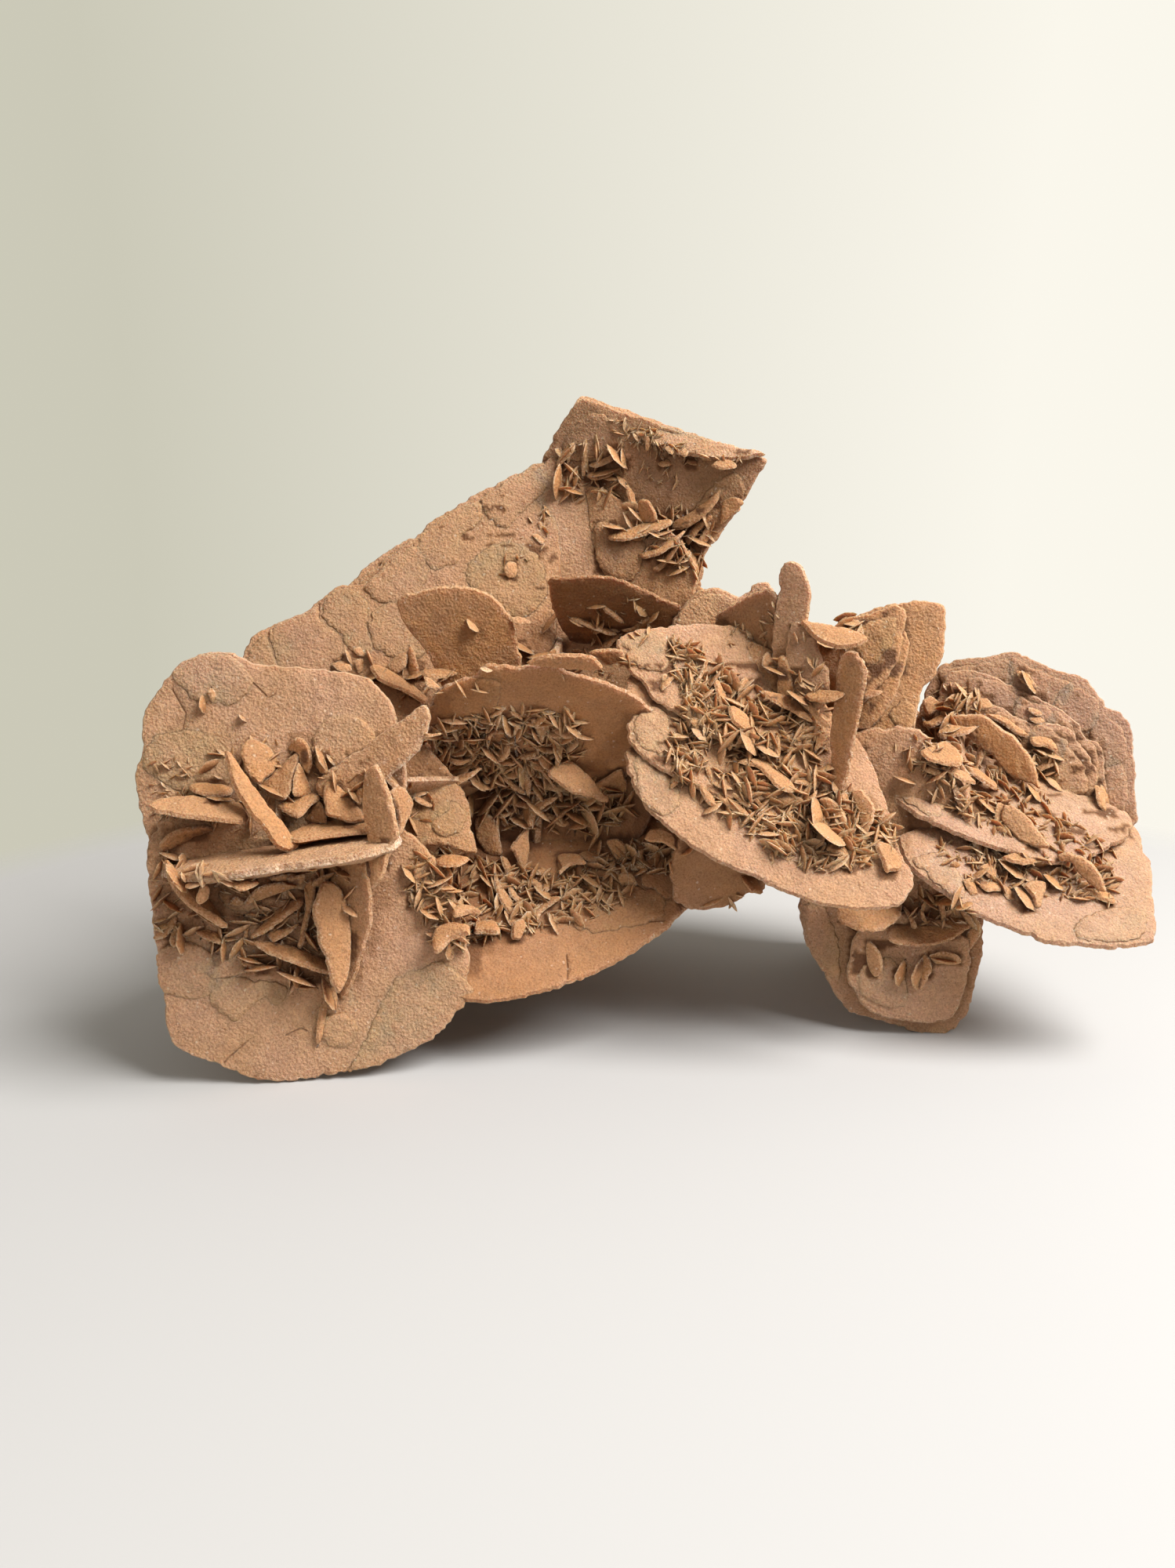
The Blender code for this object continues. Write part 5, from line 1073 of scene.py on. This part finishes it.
def little_blade(lump, row, skin, rng):
    """One of LITTLE_BLADES, half sunk where its sight line meets the plates."""
    ax, az, bx, bz, tilt = row
    hit = met_by(skin, (ax + bx) / 2, (az + bz) / 2)
    if hit is None:
        return
    length = math.dist((ax, az), (bx, bz))
    middle = hit[0] - unit(hit[0] - SIGHT) * length * 0.12
    breadth, thickness = length * 0.8 + 1.5, length * 0.1 + 0.7
    plane = (middle, np.array((0.0, -1.0, 0.0)), 0.0)
    tone = rng.uniform(0.2, 0.7), 0.0
    blade(lump, (ax, az, bx, bz, breadth, tilt, thickness, 0.0), plane, tone, rng.random())


def shut_in(skin, place, normal, ways):
    """How shut in a place is, from 0 in the open to 1 at the bottom of a hollow."""
    start = Vector(place + normal * 0.8)
    met = 0
    for way in ways:
        way = unit(way + normal * 1.05)
        met += skin.ray_cast(start, Vector(way), HOLLOW)[0] is not None
    return met / len(ways)


def hollows(points, faces, skin):
    """How shut in every point of a mesh is, worked out for each small patch of it."""
    a, b, c = (points[faces[:, i]] for i in range(3))
    turned = np.cross(b - a, c - a)
    normals = np.zeros_like(points)
    for i in range(3):
        np.add.at(normals, faces[:, i], turned)
    normals /= np.maximum(np.linalg.norm(normals, axis=1), 1e-9)[:, None]
    patches = np.column_stack((np.round(points / PATCH), np.round(normals * 1.4)))
    _, patch, sizes = np.unique(patches, axis=0, return_inverse=True, return_counts=True)
    patch = patch.reshape(-1)
    middles, faced = np.zeros((len(sizes), 3)), np.zeros((len(sizes), 3))
    np.add.at(middles, patch, points)
    np.add.at(faced, patch, normals)
    middles /= sizes[:, None]
    rng = np.random.default_rng(GROWTH_SEED)
    ways = [unit(way) for way in rng.normal(size=(10, 3))]
    shut = [shut_in(skin, place, unit(normal + 1e-6), ways) for place, normal in zip(middles, faced)]
    return np.array(shut)[patch]


def fin(lump, twist, thickness, outline, skin, tone, seed):
    """A thin plate twisted out of the face that its outline is seen against."""
    hits = [hit for hit in (met_by(skin, x, z) for x, z in outline) if hit]
    if len(hits) < len(outline) * 0.6:
        return
    places = np.array([place for place, _ in hits])
    middle = np.mean(places, 0)
    sight = unit(middle - SIGHT)
    carried = unit(np.mean([normal for _, normal in hits], 0) - sight * 0.6)
    centre = np.mean(outline, 0)
    along = np.linalg.svd(np.array(outline) - centre, full_matrices=False)[2][0]
    a, b = (on_plane(*(centre + along * reach), middle, carried) for reach in (-1, 1))
    axis = unit(b - a)
    across = unit(np.cross(axis, -sight))
    across = across if across @ (0.5, 0.0, 1.0) > 0 else -across
    twist = math.radians(twist)
    face = unit(carried - axis * carried.dot(axis))
    normal = unit(face * math.cos(twist) + across * math.sin(twist))
    if normal.dot(sight) > -0.2:
        normal = unit(normal - sight * (normal.dot(sight) + 0.25))
    proud = max(0.0, thickness - 2.0) - thickness * 0.2
    level = places[(places @ normal).argmax()] + normal * proud
    rim = [on_plane(x, z, level, normal) for x, z in outline]
    reaches = thickness * 0.4, thickness * 0.6
    plate_shell(lump, rim, normal, reaches, FIN_MESH, tone, seed, wear=0.28, frost=0.8)


def met_by(skin, x, z):
    """The place and the normal where the sight line through a board point meets the plates."""
    ray = unit(np.array((x, 0.0, z)) - SIGHT)
    place, normal, _, _ = skin.ray_cast(Vector(SIGHT), Vector(ray))
    if place is None:
        return None
    normal = np.array(normal)
    return np.array(place), normal if normal.dot(ray) < 0 else -normal


def standing_crystal(lump, foot, normal, size, amber, rng, pull=0.0):
    """A lens that stands on a face, partly sunk in it, turned and tipped at random.

    Its free edge is pulled by this share towards the sight point.
    """
    normal = unit(normal - unit(foot - SIGHT) * pull)
    side = unit(np.cross(normal, unit(np.array([rng.gauss(0, 1) for _ in range(3)]))))
    tipped = np.cross(side, normal)
    up = unit(normal + tipped * rng.uniform(-0.55, 0.55))
    side = unit(side + normal * rng.uniform(-0.35, 0.35))
    up = unit(up - side * up.dot(side))
    breadth = size * rng.uniform(0.32, 0.75)
    sizes = (size, breadth, size * rng.uniform(0.1, 0.2) + 0.25)
    centre = foot + up * breadth * rng.uniform(0.0, 0.3)
    amber = min(1, max(0, rng.gauss(amber, 0.22)))
    lens(lump, centre, side, up, sizes, amber, rng.uniform(0, 0.1), rng.random(), 0.75)


def inside(x, z, corners):
    """Whether a board point lies within the corners."""
    hits = 0
    for (ax, az), (bx, bz) in zip(corners, corners[1:] + corners[:1]):
        if (az > z) != (bz > z) and x < ax + (z - az) * (bx - ax) / (bz - az):
            hits += 1
    return hits % 2 == 1


def scattered(corners, count, rng):
    """Board points spread at random within the corners."""
    xs, zs = zip(*corners)
    found = 0
    while found < count:
        x, z = rng.uniform(min(xs), max(xs)), rng.uniform(min(zs), max(zs))
        if inside(x, z, corners):
            found += 1
            yield x, z


def crystal_field(lump, field, skin, rng):
    """Crystals of mixed sizes, many small to a few long, wherever the sight lines meet the plates."""
    corners, count, shortest, longest, amber = field
    for x, z in scattered(corners, round(count * FIELD_SHARE), rng):
        hit = met_by(skin, x, z)
        if hit is None:
            continue
        size = FIELD_GROWTH * (shortest + (longest - shortest) * rng.random() ** FEW_LONG)
        standing_crystal(lump, *hit, size, amber, rng, FRONT_PULL)


class Flow:
    """An output socket whose arithmetic adds Math nodes; make() adds every other node."""

    def __init__(self, tree, socket=None):
        self.tree, self.socket = tree, socket

    def make(self, kind, settings, sockets, out=0):
        node = self.tree.nodes.new("ShaderNode" + kind)
        for key, value in settings.items():
            setattr(node, key, value)
        for key, value in sockets.items():
            if isinstance(value, Flow):
                self.tree.links.new(value.socket, node.inputs[key])
            else:
                node.inputs[key].default_value = (*value, 1.0) if isinstance(value, tuple) and len(
                    node.inputs[key].default_value) == 4 else value
        return Flow(self.tree, node.outputs[out])

    def math(self, operation, *values):
        settings = {"operation": operation}
        return self.make("Math", settings, dict(enumerate(values)))

    def __add__(self, other):
        return self.math("ADD", self, other)

    def __sub__(self, other):
        return self.math("SUBTRACT", self, other)

    def __rsub__(self, other):
        return self.math("SUBTRACT", other, self)

    def __mul__(self, other):
        return self.math("MULTIPLY", self, other)

    def __pow__(self, other):
        return self.math("POWER", self, other)

    __radd__, __rmul__ = __add__, __mul__

    def within(self, low, high):
        """0 at low and under, 1 at high and over."""
        return self.make("MapRange", {"clamp": True}, {0: self, 1: low, 2: high})

    def tint(self, share, colour):
        """This colour with a share of another mixed in."""
        return self.make("Mix", {"data_type": "RGBA"}, {0: share, 6: self, 7: colour}, 2)


def noise_at(place, size, detail=2.0, roughness=0.5):
    """Noise of 0 to 1 with features of this size in mm."""
    sockets = {"Vector": place, "Scale": 1 / (size * MM), "Detail": detail, "Roughness": roughness}
    return place.make("TexNoise", {}, sockets)


def cells_at(place, size, out=0):
    """Cells of this size in mm: the distance to the middle, or the random colour of each."""
    return place.make("TexVoronoi", {}, {"Vector": place, "Scale": 1 / (size * MM)}, out)


def gypsum(name, tan, pink, honey, cream, bump, shine):
    """Sandy gypsum: mottled colour with grains and painted glints, paler where worn, amber where thin, and
    dark where its marks paint shade.
    """
    material = bpy.data.materials.new(name)
    material.use_nodes = True
    tree = material.node_tree
    shader = tree.nodes["Principled BSDF"]
    start = Flow(tree)
    place = start.make("TexCoord", {}, {}, 3)
    marks = start.make("Attribute", {"attribute_name": "growth"}, {}, 1)
    pale, amber, dark = (start.make("SeparateXYZ", {}, {0: marks}, out) for out in range(3))
    drift = noise_at(place, 22, 3).within(0.35, 0.65)
    mottle = noise_at(place, 4.5, 4, 0.6).within(0.3, 0.7)
    fine = noise_at(place, 0.55, 3, 0.7)
    specks = noise_at(place, 0.42, 1)
    glints = start.make("SeparateColor", {}, {0: cells_at(place, 0.5, 1)})
    colour = start.make("Mix", {"data_type": "RGBA"}, {0: drift, 6: tan, 7: pink}, 2)
    # The amber mark is the honey tone, with painted warm shade in hollows; the dark mark below is painted
    # shade.
    colour = colour.tint(amber * (0.65 + mottle * 0.35), honey)
    colour = colour.tint(dark * 0.85, DARK_GRAIN_AND_SHADE)
    colour = colour.tint((1 - mottle) * 0.2 + (1 - fine.within(0.3, 0.6)) * 0.35, DARK_GRAIN_AND_SHADE)
    colour = colour.tint(specks.within(0.64, 0.7) * 0.4, DARK_GRAIN_AND_SHADE)
    rim = pale * fine.within(0.4, 0.58) * (0.3 + drift * 0.7) * (0.4 + mottle * 0.6)
    # Painted glints: a few grain-sized spots get a painted cream highlight, and are shinier.
    glint_spots = glints.within(0.99, 0.995)
    colour = colour.tint(rim * 0.75, cream)
    colour = colour.tint(glint_spots * 0.3, cream)
    tree.links.new(colour.socket, shader.inputs["Base Color"])
    rough = 0.86 - glint_spots * 0.45 - amber * shine + fine * 0.08
    tree.links.new(rough.socket, shader.inputs["Roughness"])
    height = fine * 0.8 + cells_at(place, 0.8) * 0.5 + noise_at(place, 2.2, 2) * 0.8
    relief = start.make("Bump", {}, {"Strength": bump, "Distance": 0.6 * MM, "Height": height})
    tree.links.new(relief.socket, shader.inputs["Normal"])
    shader.inputs["Metallic"].default_value = 0.0
    shader.inputs["Specular IOR Level"].default_value = 0.35
    shader.inputs["Subsurface Weight"].default_value = GLOW
    shader.inputs["Subsurface Radius"].default_value = (1.0, 0.4, 0.18)
    shader.inputs["Subsurface Scale"].default_value = 3.0 * MM
    return material


def weathered_gypsum():
    return gypsum("weathered_gypsum", (0.62, 0.365, 0.20), (0.63, 0.37, 0.235), HONEY, CREAM, 0.9, 0.1)


def rosy_gypsum():
    return gypsum("rosy_gypsum", (0.60, 0.375, 0.235), (0.60, 0.37, 0.265), HONEY, CREAM, 0.9, 0.1)


def smooth_gypsum():
    # The bowl's honey is darker, painted shade for its deep hollow.
    honey = (0.52, 0.22, 0.07)
    return gypsum("smooth_gypsum", (0.58, 0.315, 0.15), (0.61, 0.34, 0.19), honey, CREAM, 0.5, 0.2)


def blade_gypsum():
    honey, cream = (0.60, 0.28, 0.10), (0.86, 0.71, 0.54)
    return gypsum("blade_gypsum", (0.66, 0.39, 0.21), (0.63, 0.34, 0.165), honey, cream, 0.7, 0.25)


def crystal_gypsum():
    honey, cream = (0.62, 0.31, 0.12), (0.88, 0.73, 0.56)
    return gypsum("crystal_gypsum", (0.74, 0.47, 0.28), (0.70, 0.41, 0.22), honey, cream, 0.4, 0.3)


def pale_paper():
    """The matt pale floor."""
    material = bpy.data.materials.new("pale_paper")
    material.use_nodes = True
    shader = material.node_tree.nodes["Principled BSDF"]
    shader.inputs["Base Color"].default_value = (0.495, 0.49, 0.487, 1.0)
    shader.inputs["Roughness"].default_value = 0.9
    start = Flow(material.node_tree)
    place = start.make("TexCoord", {}, {}, 3)
    across, back = (start.make("SeparateXYZ", {}, {0: place}, out) for out in range(2))
    reach = (across * across + back * back) ** 0.5
    faded = 1 - reach.within(FLOOR_RADIUS * 0.86, FLOOR_RADIUS * 0.99)
    material.node_tree.links.new(faded.socket, shader.inputs["Alpha"])
    return material


def growth_marks(lump, points, faces, skin, shade_from):
    """The lump's marks, more amber and darker with painted shade the more shut in a place is."""
    growth = np.concatenate(lump.marks).astype(np.float32)
    covered = hollows(points, faces, skin)
    shut = np.clip((covered - shade_from) / (1 - shade_from), 0, 1)
    # Painted shade: shut-in places turn warmer amber and darker brown.
    growth[:, 1] = np.minimum(growth[:, 1] + covered * AMBER_SHADE, 1)
    growth[:, 2] = np.minimum(growth[:, 2] + shut, 1)
    return growth


def finished_piece(name, lump, material, skin, shade_from):
    """A visual piece from its lump: joined to the stone, and given its finish."""
    points, faces = lump.whole()
    points = np.clip(points, CAD_LOW / MM - CENTRE_SHIFT, CAD_HIGH / MM - CENTRE_SHIFT)
    mesh = bpy.data.meshes.new(name)
    mesh.from_pydata(((points + CENTRE_SHIFT) * MM).tolist(), [], faces.tolist())
    marks = mesh.attributes.new("growth", "FLOAT_VECTOR", "POINT")
    marks.data.foreach_set("vector", growth_marks(lump, points, faces, skin, shade_from).ravel())
    mesh.materials.append(material)
    mesh.shade_smooth()
    mesh.set_sharp_from_angle(angle=math.radians(42))
    piece = bpy.data.objects.new(name, mesh)
    bpy.context.scene.collection.objects.link(piece)
    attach(piece, "root")
    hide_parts(STONE)


def skin_of(lumps):
    """One skin for rays to meet, from these lumps."""
    points, faces, size = [], [], 0
    for lump in lumps:
        piece_points, piece_faces = lump.whole()
        points.append(piece_points)
        faces.append(piece_faces + size)
        size += len(piece_points)
    return BVHTree.FromPolygons(np.concatenate(points).tolist(), np.concatenate(faces).tolist())


def fin_lumps(skin):
    """The fins, piece by piece."""
    rng = random.Random(GROWTH_SEED + 4)
    lumps = {}
    for name, (window, rows) in FINS.items():
        lumps[name] = Lump()
        for twist, thickness, corners in rows:
            tone = rng.uniform(0.1, 0.6), rng.uniform(0.0, 0.15)
            outline = drawn_corners(window, corners)
            fin(lumps[name], twist, thickness, outline, skin, tone, rng.uniform(0, 40))
    return lumps


def plate_planes():
    """Every plate's point, normal and thickness."""
    planes = {}
    for name, (turn, lean, thickness, (x, z, depth), _) in PLATES.items():
        planes[name] = in_space(x, z, depth), facing(turn, lean), thickness
    for name, (centre, turn, lean, _, thickness) in ROUND_PLATES.items():
        planes[name] = np.array(centre, float), facing(turn, lean), thickness
    return planes


def round_outline(x, z, radius):
    """The corners of a round outline on the board."""
    turns = [math.tau * i / 10 for i in range(10)]
    return [(x + radius * math.cos(turn), z + radius * math.sin(turn)) for turn in turns]


def drawn_plate(lump, name, planes, seed):
    """One of PLATES with its lamellae and cracks."""
    point, normal, thickness = planes[name]
    tone = PLATE_TONES.get(name, (0.0, 0.0))
    lift = thickness / 2 - min(thickness * 0.25, EDGE)
    if abs(normal.dot(unit(point - SIGHT))) < GRAZING:
        lift = 0.0
    edge = point + normal * lift
    rim = [on_plane(x, z, edge, normal) for x, z in PLATES[name][-1]]
    cracks = [[on_plane(x, z, edge, normal) for x, z in path] for path in CRACKS.get(name, ())]
    step = (point - edge).dot(normal) + thickness / 2
    frost = RIM_FROST.get(name, 0.7)
    plate_shell(lump, rim, normal, (step, thickness - step), NEAR_MESH, tone, seed, cracks, frost=frost)
    for i, (lift, outline) in enumerate(LAMELLAE.get(name, ())):
        outline = outline if isinstance(outline[0], tuple) else round_outline(*outline)
        level = point + normal * (thickness / 2 + lift - 0.4)
        rim = [on_plane(x, z, level, normal) for x, z in outline]
        layer = seed + 0.31 * (i + 1)
        plate_shell(lump, rim, normal, (0.4, 1.0), LAMELLA_MESH, tone, layer, wear=0.6, frost=0.25)


def round_plate(lump, name, planes, rng, seed):
    """One of ROUND_PLATES, with three lamellae on its outward face."""
    centre, normal, thickness = planes[name]
    radius = ROUND_PLATES[name][3] * SHRUNK
    side = unit(np.cross(normal, (0.0, 0.0, 1.0)))
    rise = np.cross(side, normal)

    def rim(middle, reach, corners):
        shares = [rng.uniform(0.9, 1.02) * reach for _ in range(corners)]
        turns = [math.tau * i / corners for i in range(corners)]
        return [middle + (side * math.cos(t) + rise * math.sin(t)) * s for t, s in zip(turns, shares)]

    edge = centre + normal * thickness * 0.25
    reaches = thickness * 0.25, thickness * 0.75
    plate_shell(lump, rim(edge, radius, 14), normal, reaches, REAR_MESH, (0.08, 0.05), seed)
    for i in range(3):
        turn = rng.uniform(0, math.tau)
        out = side * math.cos(turn) + rise * math.sin(turn)
        middle = centre + out * radius * rng.uniform(0.3, 0.55) + normal * (thickness / 2)
        reach = radius * rng.uniform(0.22, 0.38)
        plate_shell(lump, rim(middle, reach, 10), normal, (0.7, 0.8), 1.2, (0.1, 0.05), seed + i, frost=0.4)


def plate_lumps(planes):
    """All plates, piece by piece."""
    rng = random.Random(GROWTH_SEED)
    lumps = {}
    for piece, names in PLATE_PIECES.items():
        lumps[piece] = Lump()
        for i, name in enumerate(names):
            drawn_plate(lumps[piece], name, planes, len(lumps) * 2.7 + i * 1.3)
    rear = [name for name in ROUND_PLATES if name.startswith("rear")]
    binding = [name for name in ROUND_PLATES if name not in rear]
    for piece, names in (("rear_plates", rear), ("binding_plates", binding)):
        lumps[piece] = Lump()
        for i, name in enumerate(names):
            round_plate(lumps[piece], name, planes, rng, len(lumps) * 2.7 + i * 1.3)
    return lumps


def blade_lump(planes, skin):
    """The long blades, and the small ones among them."""
    rng = random.Random(GROWTH_SEED + 1)
    lump = Lump()
    for carrier, rows in BLADES.items():
        for row in rows:
            tone = rng.uniform(0.25, 0.75), 0.0
            blade(lump, row, planes[carrier], tone, rng.uniform(0, 40))
    for row in LITTLE_BLADES:
        little_blade(lump, row, skin, rng)
    return lump


def crystal_lumps(skin):
    """The fields of small crystals, one piece for each part of the front."""
    rng = random.Random(GROWTH_SEED + 2)
    lumps = {}
    for name, fields in CRYSTAL_FIELDS.items():
        lumps[name] = Lump()
        for field in fields:
            crystal_field(lumps[name], field, skin, rng)
    return lumps


def hidden_in_front(skin, place):
    """Whether the plates stand clearly between a place and the sight point, all round it."""
    for x, z in ((-4, 0), (4, 0), (0, 5), (0, -4), (0, 0)):
        ray = place + (x, 0.0, z) - SIGHT
        met, _, _, distance = skin.ray_cast(Vector(SIGHT), Vector(unit(ray)))
        if met is None or distance > np.linalg.norm(ray) - 3.0:
            return False
    return True


def rear_cluster(lump, start, way, skin, rng):
    """A few crystals where lines that run from the start, against the way, meet the stone."""
    for _ in range(rng.randint(4, 16)):
        spread = np.array([rng.gauss(0, 5) for _ in range(3)])
        place, normal, _, _ = skin.ray_cast(Vector(start + spread), Vector(-way))
        if place is None or not hidden_in_front(skin, np.array(place)):
            continue
        normal = np.array(normal)
        normal = normal if normal.dot(way) > 0 else -normal
        size = 1.8 + 8.0 * rng.random() ** 2
        standing_crystal(lump, np.array(place), normal, size, 0.35, rng)


def rear_lump(skin):
    """Crystals on the sides and the back, met by lines that come in from all round."""
    rng = random.Random(GROWTH_SEED + 3)
    lump = Lump()
    heart = np.array((0.0, 30.0, 60.0))
    for _ in range(REAR_CLUSTERS):
        turn = math.radians(rng.uniform(-15, 195))
        rise = rng.uniform(-0.2, 0.9)
        way = unit(np.array((math.cos(turn) * 1.3, math.sin(turn), rise)))
        aim = heart + np.array((rng.uniform(-85, 85), rng.uniform(-10, 20), rng.uniform(-35, 40)))
        rear_cluster(lump, aim + way * 300, way, skin, rng)
    return lump


def camera():
    """Looks at the stone from a little above, down by CAMERA_DOWN."""
    data = bpy.data.cameras.new("camera")
    data.sensor_fit = "VERTICAL"
    data.sensor_height = CAMERA_FILM
    data.lens = CAMERA_LENS
    made = bpy.data.objects.new("camera", data)
    made.location = (SIGHT + CENTRE_SHIFT) * MM
    made.rotation_euler = (math.radians(90 - CAMERA_DOWN), 0, 0)
    bpy.context.scene.collection.objects.link(made)
    bpy.context.scene.camera = made


def soft_light(name, place, power, size, colour):
    """A square lamp that faces the middle of the stone."""
    data = bpy.data.lights.new(name, "AREA")
    data.energy, data.size, data.color = power, size, colour
    lamp = bpy.data.objects.new(name, data)
    lamp.location = place
    lamp.rotation_euler = (Vector(LAMP_AIM) - Vector(place)).to_track_quat("-Z", "Y").to_euler()
    bpy.context.scene.collection.objects.link(lamp)


def daylight():
    """A room that is bright behind the stone, brighter to the right, and dim in front."""
    world = bpy.data.worlds.new("daylight")
    world.use_nodes = True
    tree = world.node_tree
    start = Flow(tree)
    way = start.make("TexCoord", {}, {}, 0)
    across, back = (start.make("SeparateXYZ", {}, {0: way}, out) for out in range(2))
    rgb = {"data_type": "RGBA"}
    far = start.make("Mix", rgb, {0: across.within(-0.32, 0.3), 6: FAR_LEFT, 7: FAR_RIGHT}, 2)
    room = start.make("Mix", rgb, {0: back.within(0.1, 0.7), 6: NEAR_ROOM, 7: far}, 2)
    sky = tree.nodes["Background"]
    tree.links.new(room.socket, sky.inputs["Color"])
    sky.inputs["Strength"].default_value = 1.0
    bpy.context.scene.world = world


def floor():
    """A round sheet of pale paper under the stone."""
    mesh = bpy.data.meshes.new("floor")
    turns = np.arange(FLOOR_SIDES) * math.tau / FLOOR_SIDES
    corners = [(FLOOR_RADIUS * math.cos(turn), FLOOR_RADIUS * math.sin(turn), 0.0) for turn in turns]
    mesh.from_pydata(corners, [], [tuple(range(FLOOR_SIDES))])
    mesh.materials.append(pale_paper())
    sheet = bpy.data.objects.new("floor", mesh)
    bpy.context.scene.collection.objects.link(sheet)
    sheet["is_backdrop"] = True


def studio():
    """The floor, the room all round and the lamps."""
    bpy.context.scene.view_settings.view_transform = "Standard"
    floor()
    daylight()
    soft_light("window", (0.55, -0.3, 0.8), 19.0, 0.6, (1.0, 0.985, 0.96))
    soft_light("room", (-0.5, -0.85, 0.42), 1.0, 0.6, (1.0, 0.96, 0.91))


def grown_stone():
    """Every visual piece of the stone, each with its material and how soon painted shade darkens its
    hollows.
    """
    planes = plate_planes()
    plates = plate_lumps(planes)
    skin = skin_of(plates.values())
    blades = {**fin_lumps(skin), "long_blades": blade_lump(planes, skin)}
    crystals = {**crystal_lumps(skin), "rear_crystals": rear_lump(skin)}
    stone = skin_of([*plates.values(), *blades.values()])
    bowl = {"bowl_plates": plates.pop("bowl_plates")}
    rosy = {piece: plates.pop(piece) for piece in ("fan_plates", "apron_plates")}
    for lumps, material, shade_from in (
            (plates, weathered_gypsum(), 0.4), (rosy, rosy_gypsum(), 0.4), (bowl, smooth_gypsum(), 0.2),
            (blades, blade_gypsum(), 0.45), (crystals, crystal_gypsum(), 0.55)):
        for name, lump in lumps.items():
            finished_piece(name, lump, material, stone, shade_from)


def write_sizes():
    """The boxes of the stone and of its visual pieces, in metres."""
    boxes = {"cad": [list(corner) for corner in (CAD_LOW, CAD_HIGH)],
             "visual": [list(corner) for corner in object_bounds()]}


camera()
studio()
grown_stone()
write_sizes()
